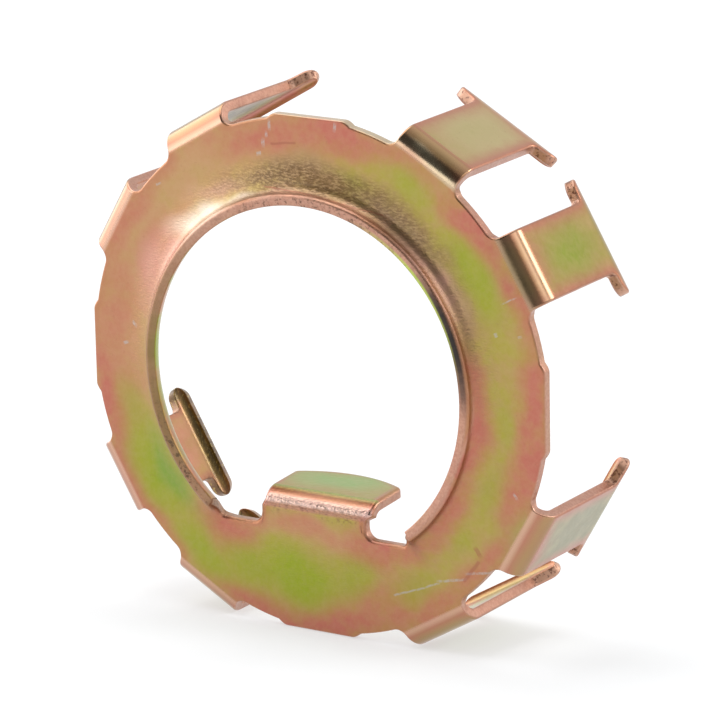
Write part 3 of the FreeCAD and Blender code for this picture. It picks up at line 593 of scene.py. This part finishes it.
def clouds(points, ovals):
    """The strongest of several soft oval clouds, each full inside and faded out past its sizes.

    With x along the ring and y inward from a cloud's middle, both over its half sizes, the share
    is strength ease((1.6 - d) / 1.4), d the root of x^2 + y^2. A cloud on the ring bends round
    with it, x = radius times angle; one on a leg or the tab stays straight."""
    total = np.zeros(len(points))
    away = np.hypot(points[:, 0], points[:, 1])
    bearing = np.arctan2(points[:, 1], points[:, 0])
    innermost, outermost = BENT_CLOUDS
    for angle, radius, length, width, turn, strength in ovals:
        a = math.radians(angle)
        if innermost < radius < outermost:
            along = radius * (np.remainder(bearing - a + math.pi, 2 * math.pi) - math.pi)
            local = turned(np.stack([along, radius - away], axis=1), -math.radians(turn))
        else:
            local = turned(points - polar(radius, a), -a - math.radians(90 + turn))
        distance = np.hypot(local[:, 0] / length, local[:, 1] / width)
        total = np.maximum(total, strength * ease((CLOUD_END - distance) / CLOUD_FADE))
    return total


# Waves that move the clouds' outlines across and up: size, factors of x and y, and start
WAVES = [
    [(0.35, 0.31, 0.63, 1.0), (0.15, 1.5, -0.9, 2.0)],
    [(0.35, 0.61, -0.42, 0.5), (0.15, 1.1, 1.4, 4.0)],
]


def wandered(points):
    """Points moved by up to 0.5 mm each way: sums of size sin(a x + b y + start)."""
    x, y = points.T
    moves = [
        sum(size * np.sin(a * x + b * y + start) for size, a, b, start in waves)
        for waves in WAVES]
    return points + np.stack(moves, axis=1)


def bent(flat, kind, heading):
    """Share of its fold's turn that every point has made: 0 before the fold, 1 past it."""
    run = flat[:, 0] * np.cos(heading) + flat[:, 1] * np.sin(heading)
    leg = np.clip((run - LEG_ROOT) / (LEG_FOLD * math.pi / 2), 0, 1)
    tab = np.clip((flat[:, 1] - TAB_FOLD_START) / (TAB_FOLD * TAB_TURN), 0, 1)
    return np.select([kind == ON_LEG, kind == ON_TAB], [leg, tab], 0.0)


# A rolled edge counts as cut where the sine of its tilt lies between these
CUT_START, CUT_FULL = 1.2 / 2.2, 1.0


def retainer_mesh():
    """The whole retainer: both faces, and the edge profile carried along both closed edges.

    With every point come its marks, which the material reads: how far it is a cut edge, its
    depth in the sheet, its fold's share, its distance to both edges, and the clouds."""
    blank = Blank()
    count = blank.count
    flats = [blank.laid(blank.front_roll), blank.laid(BACK_ROLL)]
    depths = [np.zeros(count), np.full(count, SHEET)]
    tilts = [np.zeros(count), np.full(count, math.pi)]
    kinds, headings = [blank.kind] * 2, [blank.heading] * 2
    directions = [np.ones((count, 2)) * (1, 0)] * 2
    grids = [grid_quads(blank.ring, True), grid_quads(blank.tab)[:, ::-1]]
    front = np.concatenate(grids + [grid_quads(leg) for leg in blank.legs])
    faces = [front, front[:, ::-1] + count]
    total = 2 * count
    for loop, roll in zip(blank.loops, (RIM_ROLL, HOLE_ROLL)):
        inner = edge_profile(roll)[1:-1]
        size = len(inner) * len(loop)
        numbers = total + np.arange(size).reshape(len(inner), len(loop))
        numbers = np.concatenate([loop[None], numbers, loop[None] + count])
        out = blank.outward[loop]
        moved = blank.flat[loop][None] + inner[:, 0, None, None] * out[None]
        flats.append(moved.reshape(-1, 2))
        depths.append(np.repeat(inner[:, 1], len(loop)))
        tilts.append(np.repeat(inner[:, 2], len(loop)))
        kinds.append(np.tile(blank.kind[loop], len(inner)))
        headings.append(np.tile(blank.heading[loop], len(inner)))
        directions.append(np.tile(out, (len(inner), 1)))
        faces.append(grid_quads(numbers, True))
        total += size
    flat, kind = np.concatenate(flats), np.concatenate(kinds)
    depth, tilt = np.concatenate(depths), np.concatenate(tilts)
    heading = np.concatenate(headings)
    place, normal = formed(flat, depth, kind, heading, np.concatenate(directions), tilt)
    marks = {
        "cut": ease((np.sin(tilt) - CUT_START) / (CUT_FULL - CUT_START)),
        "depth": depth / SHEET,
        "bent": bent(flat, kind, heading),
        "on_tab": (kind == ON_TAB).astype(float),
        "rim_distance": distance_to(flat, blank.flat[blank.loops[0]]),
        "hole_distance": distance_to(flat, blank.flat[blank.loops[1]]),
    }
    film = wandered(flat)
    marks.update({name: clouds(film, ovals) for name, ovals in CLOUDS.items()})
    return flat, place, normal, np.concatenate(faces), marks


# The stance: the retainer stands on its rim and rests forward on it
LEAN = math.radians(4.543824)


def stood_up(points):
    """Body axes to the shared frame: x stays, up = y cos lean - z sin lean, front towards -Y."""
    c, s = math.cos(LEAN), math.sin(LEAN)
    x, y, z = points.T
    return np.stack([x, -s * y - c * z, c * y - s * z], axis=1)


def placed(name, data):
    """A new object of a mesh, lamp or camera, in the scene."""
    piece = bpy.data.objects.new(name, data)
    bpy.context.scene.collection.objects.link(piece)
    return piece


def make_retainer(material):
    """Builds the mesh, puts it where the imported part's box is, and stores its flat coordinates."""
    flat, place, normal, faces, marks = retainer_mesh()
    place, normal = stood_up(place), stood_up(normal)
    low, high = (np.array(corner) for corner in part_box(PART))
    middle = (place.min(axis=0) + place.max(axis=0)) / 2
    place = (place - middle) * MM + (low + high) / 2
    mesh = bpy.data.meshes.new("retainer")
    mesh.from_pydata(place.tolist(), [], faces.tolist())
    mesh.update()
    mesh.shade_smooth()
    mesh.normals_split_custom_set_from_vertices(normal.tolist())
    corners = np.zeros(len(mesh.loops), int)
    mesh.loops.foreach_get("vertex_index", corners)
    layer = mesh.uv_layers.new(name="blank")
    layer.data.foreach_set("uv", (flat[corners] / BLANK_SIZE + 0.5).ravel())
    for name, values in marks.items():
        mesh.attributes.new(name, "FLOAT", "POINT").data.foreach_set("value", values)
    mesh.materials.append(material)
    piece = placed("retainer", mesh)
    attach(piece, "root")
    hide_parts(PART)


class Nodes:
    """Adds shader nodes to one material or world and joins them."""

    def __init__(self, tree):
        self.tree = tree
        tree.nodes.clear()

    def add(self, kind, values=None, **settings):
        """A node with its settings, and its inputs set or joined by name or number."""
        node = self.tree.nodes.new(kind)
        for name, value in settings.items():
            setattr(node, name, value)
        for name, value in (values or {}).items():
            if isinstance(value, bpy.types.NodeSocket):
                self.tree.links.new(value, node.inputs[name])
            else:
                node.inputs[name].default_value = value
        return node

    def math(self, operation, *values, clamp=False):
        """One sum, product or other operation on numbers."""
        values = dict(enumerate(values))
        return self.add("ShaderNodeMath", values, operation=operation, use_clamp=clamp).outputs[0]

    def times(self, *shares):
        """The product of all shares."""
        return functools.reduce(functools.partial(self.math, "MULTIPLY"), shares)

    def most(self, *shares):
        """The greatest of all shares."""
        return functools.reduce(functools.partial(self.math, "MAXIMUM"), shares)

    def vector(self, operation, *values):
        """One operation on vectors."""
        values = dict(enumerate(values))
        return self.add("ShaderNodeVectorMath", values, operation=operation).outputs

    def step(self, value, first, last, low=0.0, high=1.0):
        """Smooth step from low, where the value is first, to high, where it is last."""
        values = {0: value, 1: first, 2: last, 3: low, 4: high}
        return self.add("ShaderNodeMapRange", values, interpolation_type="SMOOTHSTEP").outputs[0]

    def mix(self, share, first, second):
        """The first colour with a share of the second laid over it."""
        first, second = ((*c, 1.0) if isinstance(c, tuple) else c for c in (first, second))
        values = {0: share, 6: first, 7: second}
        return self.add("ShaderNodeMix", values, data_type="RGBA").outputs[2]

    def mapped(self, place, scale, moved=(0.0, 0.0, 0.0), turn=0.0, kind="POINT"):
        """Place scaled, turned and moved; with the kind TEXTURE, the same undone."""
        values = {
            "Vector": place, "Scale": scale, "Location": moved, "Rotation": (0.0, 0.0, turn)}
        return self.add("ShaderNodeMapping", values, vector_type=kind).outputs[0]

    def noise(self, place, scale, detail, rough, output="Fac"):
        """Noise at a place, as a number or a colour."""
        values = {"Vector": place, "Scale": scale, "Detail": detail, "Roughness": rough}
        return self.add("ShaderNodeTexNoise", values).outputs[output]

    def ramp(self, value, stops):
        """Colours at given values, straight between them."""
        node = self.add("ShaderNodeValToRGB", {"Fac": value})
        band = node.color_ramp.elements
        while len(band) < len(stops):
            band.new(1.0)
        for element, (at, colour) in zip(band, stops):
            element.position, element.color = at, (*colour, 1.0)
        return node.outputs["Color"]

    def shade(self, values):
        """The surface itself, joined to the material's output."""
        shader = self.add("ShaderNodeBsdfPrincipled", values)
        self.add("ShaderNodeOutputMaterial", {"Surface": shader.outputs[0]})

    def attribute(self, name):
        """One of the mesh's marks."""
        return self.add("ShaderNodeAttribute", attribute_name=name).outputs["Fac"]

    def patch(self, place, angle, radius, length, width, turn):
        """Place in a patch's own measure: 0 at its middle, 1 at its half sizes."""
        a = math.radians(angle)
        middle = (radius * math.cos(a), radius * math.sin(a), 0.0)
        heading = a + math.radians(90 + turn)
        return self.mapped(place, (length, width, 1.0), middle, heading, "TEXTURE")

    def marks(self, place, lines):
        """The strongest of several thin straight marks, gone past their half sizes."""
        shares = []
        for line in lines:
            away = self.vector("ABSOLUTE", self.patch(place, *line))[0]
            along, across = self.add("ShaderNodeSeparateXYZ", {0: away}).outputs[:2]
            shares.append(self.times(self.step(along, 1.0, 0.85), self.step(across, 1.0, 0.3)))
        return self.most(*shares)


# Tones of the clouds, the film's own and painted highlights and shade, from the lowest layer to
# the highest, and the side each is kept to. off_back keeps a cloud off the ring's back.
FILM_LAYERS = [
    ("peach", "off_back", (0.49, 0.275, 0.125)),
    ("khaki", "front", (0.54, 0.41, 0.20)),
    ("slate", "front", (0.25, 0.235, 0.12)),
    ("pink", "both", (0.47, 0.14, 0.095)),
    ("green", "both", (0.27, 0.325, 0.008)),
    ("teal", "off_back", (0.16, 0.30, 0.04)),
    ("mint", "front", (0.27, 0.41, 0.10)),
    ("umber", "off_back", (0.38, 0.235, 0.11)),
    # Painted shade on the upper left leg's inner face
    ("underside_shade", "back", (0.17, 0.145, 0.09)),
    # Painted shade on two legs
    ("dim", "both", (0.0, 0.0, 0.0)),
    # Painted highlights on the dish and lip, and a little of the film's own pink
    ("blush", "off_back", (0.60, 0.32, 0.24)),
    # A painted highlight on the dish
    ("pale", "off_back", (0.74, 0.60, 0.48)),
]
# Tones of everything else, with painted highlights and painted shade among them
OLIVE, TAN = (0.375, 0.305, 0.05), (0.42, 0.285, 0.085)
MOTTLE, SPECK = (0.60, 0.42, 0.24), (0.27, 0.13, 0.06)
# CREASE is a painted highlight, and SEAM_FLECK is painted shade of the tab's fold, broken into
# flecks
CREASE, SEAM_FLECK = (0.62, 0.52, 0.34), (0.16, 0.06, 0.045)
# A painted dark reflection high on the dish, and painted glints in it
PAINTED_DARK, GOLD_FLECK = (0.11, 0.055, 0.018), (0.56, 0.37, 0.19)
# Painted shade in the hooks' curls, with lighter flecks
TROUGH, TROUGH_FLECK = (0.07, 0.045, 0.01), (0.24, 0.17, 0.045)
CUT_DARK, CUT_LIGHT = (0.47, 0.235, 0.165), (0.56, 0.31, 0.225)
# CUT_BROWN is painted shade, and CUT_BLACK and CUT_MIDDLE a painted dark reflection
CUT_BROWN, CUT_BLACK, CUT_MIDDLE = (0.23, 0.14, 0.055), (0.03, 0.02, 0.015), (0.02, 0.012, 0.01)
# CUT_GREEN is a painted glint and CUT_PALE a painted highlight
CUT_GREEN, CUT_SPECKLE, CUT_PALE = (0.50, 0.62, 0.12), (0.06, 0.035, 0.02), (0.56, 0.49, 0.34)
LUG, LUG_SPECKLE = (0.66, 0.40, 0.28), (0.13, 0.06, 0.04)
# HOOK is painted shade on the hooks' cut ends
HOOK, HOOK_SPECKLE = (0.10, 0.055, 0.015), (0.52, 0.38, 0.13)
# RUST_AND_SHADE colours the dark marks, and also a painted line of shade
SILVER, RUST_AND_SHADE = (0.45, 0.42, 0.40), (0.32, 0.10, 0.06)

# Silvery scratches and rubbed spots: angle, radius, half length, half width, turn
SCRATCHES = [
    (300, 18.7, 2.4, 0.12, -8),
    (310, 19.5, 1.5, 0.15, -28),
    (317.5, 20.6, 1.5, 0.15, -36),
    (83, 20.8, 0.16, 0.50, 0),
    (100, 20.6, 0.14, 0.60, -8),
    (101.3, 19.8, 0.13, 0.35, -12),
    (102.4, 19.2, 0.17, 0.45, -12),
    (104.5, 18.5, 0.28, 0.24, 0),
    (25.5, 20.1, 0.07, 0.9, 0),
    (17, 20.0, 0.12, 0.26, 0),
    (18.8, 17.9, 0.22, 0.22, 0),
    (135, 20.3, 0.30, 0.14, -30),
    (172, 17.1, 0.16, 0.40, -30),
    (178, 18.1, 0.14, 0.40, 20),
    (339, 19.9, 0.12, 0.40, -30),
]
# Thin dark marks, in the same way; the last is a painted line of shade along the lip
DARK_MARKS = [
    (97, 19.1, 1.2, 0.14, 4),
    (316, 20.0, 1.3, 0.22, 8),
    (321, 19.3, 0.22, 0.6, -18),
    # A painted line of shade along the top of the lip
    (84, 14.75, 6.0, 0.10, 0),
]

# Painted highlights and dark reflections across a fold, by the share of its turn: the two upper
# right legs, the other legs, the tab
BANDED_FOLD_TONES = [
    (0.04, (0.32, 0.24, 0.15)),
    (0.22, (0.27, 0.19, 0.11)),
    (0.40, (0.22, 0.13, 0.07)),
    (0.54, (0.25, 0.095, 0.055)),
    (0.66, (0.47, 0.28, 0.18)),
    (0.80, (0.50, 0.28, 0.18)),
    (0.88, (0.30, 0.13, 0.08)),
    (0.95, (0.47, 0.20, 0.13)),
]
PLAIN_FOLD_TONES = [
    (0.05, (0.66, 0.40, 0.29)),
    (0.18, (0.64, 0.38, 0.27)),
    (0.32, (0.47, 0.20, 0.13)),
    (0.55, (0.43, 0.27, 0.12)),
    (0.80, (0.42, 0.26, 0.12)),
    (0.92, (0.46, 0.20, 0.13)),
]
TAB_FOLD_TONES = [
    (0.05, (0.46, 0.20, 0.14)),
    (0.20, (0.42, 0.20, 0.16)),
    (0.30, (0.95, 0.66, 0.60)),
    (0.44, (0.90, 0.56, 0.49)),
    (0.56, (0.52, 0.22, 0.16)),
    (0.70, (0.25, 0.07, 0.04)),
    (0.80, (0.36, 0.26, 0.09)),
    (0.90, (0.30, 0.36, 0.10)),
]


class Film(Nodes):
    """The film's nodes, with the places, marks and noises that its layers share, painted highlights
    and shade among them.

    place is flat on the blank, and solid in the object's own axes, both in millimetres."""

    def __init__(self, tree):
        super().__init__(tree)
        uv = self.add("ShaderNodeUVMap", uv_map="blank").outputs[0]
        corner = (-BLANK_SIZE / 2, -BLANK_SIZE / 2, 0.0)
        self.place = self.mapped(uv, (BLANK_SIZE, BLANK_SIZE, 1.0), corner)
        own = self.add("ShaderNodeTexCoord").outputs["Object"]
        self.solid = self.mapped(own, (1 / MM, 1 / MM, 1 / MM))
        self.radius = self.vector("LENGTH", self.place)["Value"]
        self.cut, self.depth = self.attribute("cut"), self.attribute("depth")
        self.front = self.math("SUBTRACT", 1.0, self.depth)
        self.rim, self.hole = self.attribute("rim_distance"), self.attribute("hole_distance")
        self.tone = self.noise(self.place, 0.55, 4.0, 0.6)
        self.uneven = self.step(self.tone, 0.3, 0.7, 0.85, 1.15)
        self.speck = self.noise(self.solid, 4.0, 3.0, 0.6)
        self.speckle = self.step(self.noise(self.solid, 2.6, 4.0, 0.7), 0.52, 0.62)
        self.fleck = self.most(*(self.strokes(turn) for turn in (62.0, -35.0)))
        self.lip = self.step(self.radius, 18.9, 16.6)
        # Painted shade in the curls and on the ends of the lower left hooks
        trough = self.times(self.cloud("trough"), self.step(self.radius, 33.0, 33.8))
        self.hook = self.most(trough, self.cloud("hook_ends"))
        self.bent = self.attribute("bent")
        fold = self.times(self.step(self.bent, 0.03, 0.14), self.step(self.bent, 1.0, 0.9))
        self.fold = self.times(fold, self.front)

    def strokes(self, turn):
        """Noise drawn out into short strokes in one direction."""
        drawn = self.mapped(self.place, (2.0, 5.6, 1.0), turn=math.radians(turn))
        return self.noise(drawn, 1.0, 3.0, 0.6)

    def cloud(self, name):
        """The share of one kind of cloud, made a little uneven."""
        return self.math("MULTIPLY", self.attribute(name), self.uneven, clamp=True)


def film_and_painted_light(n):
    """The film on both faces: olive and tan, the clouds over one another, among them painted
    highlights and painted shade, and a fine mottle.

    Pink also follows the rim, the legs' edges, the notches and the lip's end, and green is strewn
    over the ring's back."""
    near_rim = n.step(n.math("MULTIPLY_ADD", n.tone, 1.6, n.rim), 2.5, 1.0, 0.0, 0.75)
    near_leg_edge = n.times(n.step(n.rim, 1.3, 0.2, 0.0, 0.8), n.step(n.radius, 21.0, 22.5))
    in_notch = n.times(n.step(n.hole, 1.5, 0.2, 0.0, 0.7), n.cloud("notch"))
    near_lip_end = n.step(n.hole, 0.8, 0.4, 0.0, 0.7)
    pink = n.most(n.cloud("pink"), n.times(near_rim, 0.8), near_leg_edge, in_notch, near_lip_end)
    ring_back = n.times(n.depth, n.step(n.radius, 22.5, 21.0))
    strewn = n.step(n.noise(n.place, 0.16, 3.0, 0.6), 0.45, 0.65)
    green = n.cloud("green")
    green = n.math("MULTIPLY_ADD", n.math("SUBTRACT", strewn, green), ring_back, green)
    whole = {"pink": pink, "green": green}
    off_back = n.math("SUBTRACT", 1.0, ring_back)
    sides = {"front": n.front, "back": n.depth, "off_back": off_back}

    colour = n.mix(n.step(n.tone, 0.35, 0.65), OLIVE, TAN)
    for name, side, tone in FILM_LAYERS:
        share = whole[name] if name in whole else n.cloud(name)
        if side in sides:
            share = n.times(share, sides[side])
        colour = n.mix(share, colour, tone)
    mottle = n.noise(n.solid, 1.7, 5.0, 0.65)
    colour = n.mix(n.step(mottle, 0.3, 0.7, 0.0, 0.11), colour, MOTTLE)
    return n.mix(n.step(n.speck, 0.60, 0.70, 0.0, 0.15), colour, SPECK)


def with_folds(n, colour):
    """Painted highlights and dark bands across the folds, a painted highlight along a crease,
    and dark flecks of painted shade along the tab's seam.
    """
    tones = (PLAIN_FOLD_TONES, BANDED_FOLD_TONES, TAB_FOLD_TONES)
    plain, banded, tab = (n.ramp(n.bent, stops) for stops in tones)
    leg = n.mix(n.attribute("banded"), plain, banded)
    # Painted highlights and dark reflection bands across the folds, by their turn
    colour = n.mix(n.times(n.fold, 0.8), colour, n.mix(n.attribute("on_tab"), leg, tab))
    # A painted highlight along the start of one leg's fold
    crease = n.times(n.cloud("crease"), n.front, n.step(n.bent, 0.005, 0.04, 0.0, 0.9))
    colour = n.mix(crease, colour, CREASE)
    # Dark flecks along the tab's seam: painted shade broken up by speckle
    return n.mix(n.times(n.cloud("seam"), n.speckle, n.front, 0.75), colour, SEAM_FLECK)


def with_painted_shade(n, colour):
    """Painted shade high on the dish with painted glints in it, and painted shade in the dark
    troughs behind the lower left hooks.
    """
    painted_dark = n.times(n.lip, n.cloud("painted_dark"), n.front)
    # Painted dark reflection, broken by flecks
    colour = n.mix(n.times(painted_dark, n.step(n.fleck, 0.66, 0.46, 0.15, 0.85)), colour, PAINTED_DARK)
    # Painted glints among it
    colour = n.mix(n.times(painted_dark, n.step(n.fleck, 0.60, 0.72, 0.0, 0.3)), colour, GOLD_FLECK)
    # Painted shade in the hooks' troughs, on the back face
    trough = n.mix(n.step(n.fleck, 0.56, 0.68), TROUGH, TROUGH_FLECK)
    return n.mix(n.times(n.depth, n.hook, 0.95), colour, trough)


def with_cut_edges(n, colour):
    """Cut edges: rosy, with speckled stretches and speckled lugs; a brown stretch of painted shade,
    a black one of painted dark reflection, a green painted glint, a pale painted highlight on the
    rim, and painted shade on the hooks' ends.
    """
    at_hole, at_lug = n.step(n.hole, 1.2, 0.6), n.step(n.radius, 32.3, 33.0)
    # Where a painted dark reflection and a painted glint lie on the hole's edge
    black = n.times(at_hole, n.cloud("edge_black"))
    green_glint = n.times(n.step(n.depth, 0.5, 0.7), n.cloud("edge_green"))
    edge = n.mix(n.step(n.speck, 0.35, 0.65), CUT_DARK, CUT_LIGHT)
    # Painted shade, then a painted dark reflection and a painted glint
    edge = n.mix(n.times(at_hole, n.cloud("edge_brown")), edge, CUT_BROWN)
    edge = n.mix(black, edge, CUT_BLACK)
    edge = n.mix(n.times(at_hole, green_glint), edge, CUT_GREEN)
    edge = n.mix(n.times(at_hole, n.speckle, n.cloud("edge_speck")), edge, CUT_SPECKLE)
    # A painted highlight on the rim's top edge
    edge = n.mix(n.cloud("edge_pale"), edge, CUT_PALE)
    edge = n.mix(n.times(at_lug, 0.85), edge, n.mix(n.speckle, LUG, LUG_SPECKLE))
    # Painted shade on the hooks' cut ends
    edge = n.mix(n.times(at_lug, n.hook), edge, n.mix(n.speckle, HOOK, HOOK_SPECKLE))
    colour = n.mix(n.times(n.cut, 0.85), colour, edge)
    # The painted dark reflection goes deepest in the middle of the edge
    middle = n.times(n.step(n.depth, 0.05, 0.3), n.step(n.depth, 0.85, 0.6))
    return n.mix(n.times(black, middle), colour, CUT_MIDDLE)


def with_wear_and_shade(n, colour):
    """Silvery scratches and thin dark marks on the front, made crooked by a noise; one dark mark
    is a painted line of shade along the lip.
    """
    noise = n.noise(n.place, 0.3, 3.0, 0.6, "Color")
    wander = n.vector("SUBTRACT", noise, (0.5, 0.5, 0.5))[0]
    near = n.vector("MULTIPLY_ADD", wander, (0.7, 0.7, 0.0), n.place)[0]
    broken = n.step(n.speck, 0.40, 0.55, 0.3, 0.85)
    colour = n.mix(n.times(n.marks(near, SCRATCHES), broken, n.front, 0.65), colour, SILVER)
    # Dark marks, and a painted line of shade along the lip
    return n.mix(n.times(n.marks(near, DARK_MARKS), n.front, 0.5), colour, RUST_AND_SHADE)


def film_relief(n):
    """Fine grain all over, coarser and flecked in the dish, and rough along cut edges."""
    coarse = n.math("MULTIPLY_ADD", n.lip, 0.6, 0.12)
    grain = n.times(n.noise(n.solid, 3.4, 4.0, 0.6), coarse)
    cut_grain = n.times(n.noise(n.solid, 2.2, 3.0, 0.6), n.cut, 1.2)
    carved = n.times(n.fleck, n.lip, 1.2)
    height = n.math("ADD", grain, n.math("ADD", cut_grain, carved))
    values = {"Strength": 0.6, "Distance": 0.05 * MM, "Height": height}
    return n.add("ShaderNodeBump", values).outputs[0]


def film_roughness(n):
    """A patchy sheen: glossier on folds, duller on cut edges and on the painted shade of the upper
    left leg's underside.
    """
    rough = n.math("MULTIPLY_ADD", n.cut, 0.1, n.step(n.tone, 0.3, 0.7, 0.29, 0.38))
    rough = n.math("MULTIPLY_ADD", n.fold, -0.13, rough)
    return n.math("MULTIPLY_ADD", n.times(n.cloud("underside_shade"), n.depth), 0.35, rough)


def chromate():
    """Yellow chromate over zinc: a metal with a thin clear coat, in layers of colour, some of them
    painted highlights and painted shade.
    """
    material = bpy.data.materials.new("yellow_chromate")
    material.use_nodes = True
    n = Film(material.node_tree)
    colour = film_and_painted_light(n)
    for layer in (with_folds, with_painted_shade, with_cut_edges, with_wear_and_shade):
        colour = layer(n, colour)
    n.shade({
        "Base Color": colour, "Metallic": 1.0, "Roughness": film_roughness(n),
        "Normal": film_relief(n), "Coat Weight": 0.5, "Coat Roughness": 0.2})
    return material


# Half side of the floor in metres, and lines of points each way
FLOOR_HALF, FLOOR_LINES = 6.0, 5


def floor_sheet():
    """A wide pale floor, one flat grid that glows a little, so that the shadow stays light."""
    line = np.linspace(-FLOOR_HALF, FLOOR_HALF, FLOOR_LINES)
    x, y = np.meshgrid(line, line)
    points = np.stack([x, y, np.zeros_like(x)], axis=-1).reshape(-1, 3)
    quads = grid_quads(np.arange(FLOOR_LINES**2).reshape(FLOOR_LINES, FLOOR_LINES))[:, ::-1]
    mesh = bpy.data.meshes.new("floor")
    mesh.from_pydata(points.tolist(), [], quads.tolist())
    material = bpy.data.materials.new("pale_floor")
    material.use_nodes = True
    Nodes(material.node_tree).shade({
        "Base Color": (0.44, 0.45, 0.46, 1.0), "Roughness": 0.9, "Specular IOR Level": 0.1,
        "Emission Color": (1.0, 1.0, 1.0, 1.0), "Emission Strength": 0.52})
    mesh.materials.append(material)
    placed("floor", mesh)


# The softboxes face this point, and the room is dark in this direction
TARGET = Vector((0.0, 0.0, 0.022))
DARK_SIDE = (-0.12, -0.87, 0.48)
# Direction from the part, distance, size and radiance
SOFTBOXES = {
    "above": ((-0.40, -0.08, 0.80), 0.8, (0.8, 0.7), 1.95),
    "right": ((0.74, -0.22, 0.58), 0.8, (0.5, 0.3), 1.4),
    "left": ((-0.93, -0.26, 0.26), 0.6, (1.0, 0.36), 1.75),
    "front_low": ((-0.25, -0.96, 0.14), 0.8, (0.22, 0.22), 1.8),
    "behind_right": ((0.738, 0.459, 0.495), 0.7, (0.22, 0.26), 6.0),
}


def softbox(name, direction, distance, size, radiance):
    """A rectangular area light in a direction from the part, facing it, of an even radiance."""
    data = bpy.data.lights.new(name, "AREA")
    data.shape = "RECTANGLE"
    data.size, data.size_y = size
    data.energy = radiance * math.pi * size[0] * size[1]
    lamp = placed(name, data)
    towards = Vector(direction).normalized()
    lamp.location = TARGET + towards * distance
    lamp.rotation_euler = towards.to_track_quat("Z", "Y").to_euler()
    lamp.visible_camera = False


def studio():
    """A soft room, brighter behind and dark in one direction in front, and the softboxes.

    The camera itself sees plain white."""
    world = bpy.data.worlds.new("studio")
    bpy.context.scene.world = world
    world.use_nodes = True
    n = Nodes(world.node_tree)
    ray = n.add("ShaderNodeTexCoord").outputs["Generated"]
    split = n.add("ShaderNodeSeparateXYZ", {0: ray}).outputs
    level = n.step(split[1], -0.45, 0.45, 0.45, 0.95)
    ahead = n.vector("DOT_PRODUCT", ray, DARK_SIDE)["Value"]
    level = n.math("MULTIPLY", level, n.step(ahead, 0.76, 0.93, 1.0, 0.15))
    seen = n.add("ShaderNodeLightPath").outputs["Is Camera Ray"]
    colour = n.mix(seen, n.mix(level, (0.0, 0.0, 0.0), (1.0, 1.0, 1.0)), (1.0, 1.0, 1.0))
    back = n.add("ShaderNodeBackground", {"Color": colour, "Strength": 1.0})
    n.add("ShaderNodeOutputWorld", {"Surface": back.outputs[0]})
    for name, box in SOFTBOXES.items():
        softbox(name, *box)


# Camera, from the photograph's own perspective: place in metres, and its axes
CAMERA_PLACE = Vector((0.19528, -0.313393, 0.098162))
CAMERA_RIGHT = Vector((0.84686, 0.531332, 0.022694))
CAMERA_UP = Vector((-0.12652, 0.159854, 0.979001))
CAMERA_BACK = Vector((0.51655, -0.831945, 0.202599))
LENS, SENSOR = 234.0, 36.0


def camera():
    """The camera with its three axes as columns."""
    data = bpy.data.cameras.new("camera")
    data.lens, data.sensor_width = LENS, SENSOR
    data.clip_start, data.clip_end = 0.01, 50.0
    piece = placed("camera", data)
    turn = Matrix((CAMERA_RIGHT, CAMERA_UP, CAMERA_BACK)).transposed().to_4x4()
    piece.matrix_world = Matrix.Translation(CAMERA_PLACE) @ turn
    bpy.context.scene.camera = piece


make_retainer(chromate())
floor_sheet()
studio()
camera()
bpy.context.scene.view_settings.view_transform = "Standard"
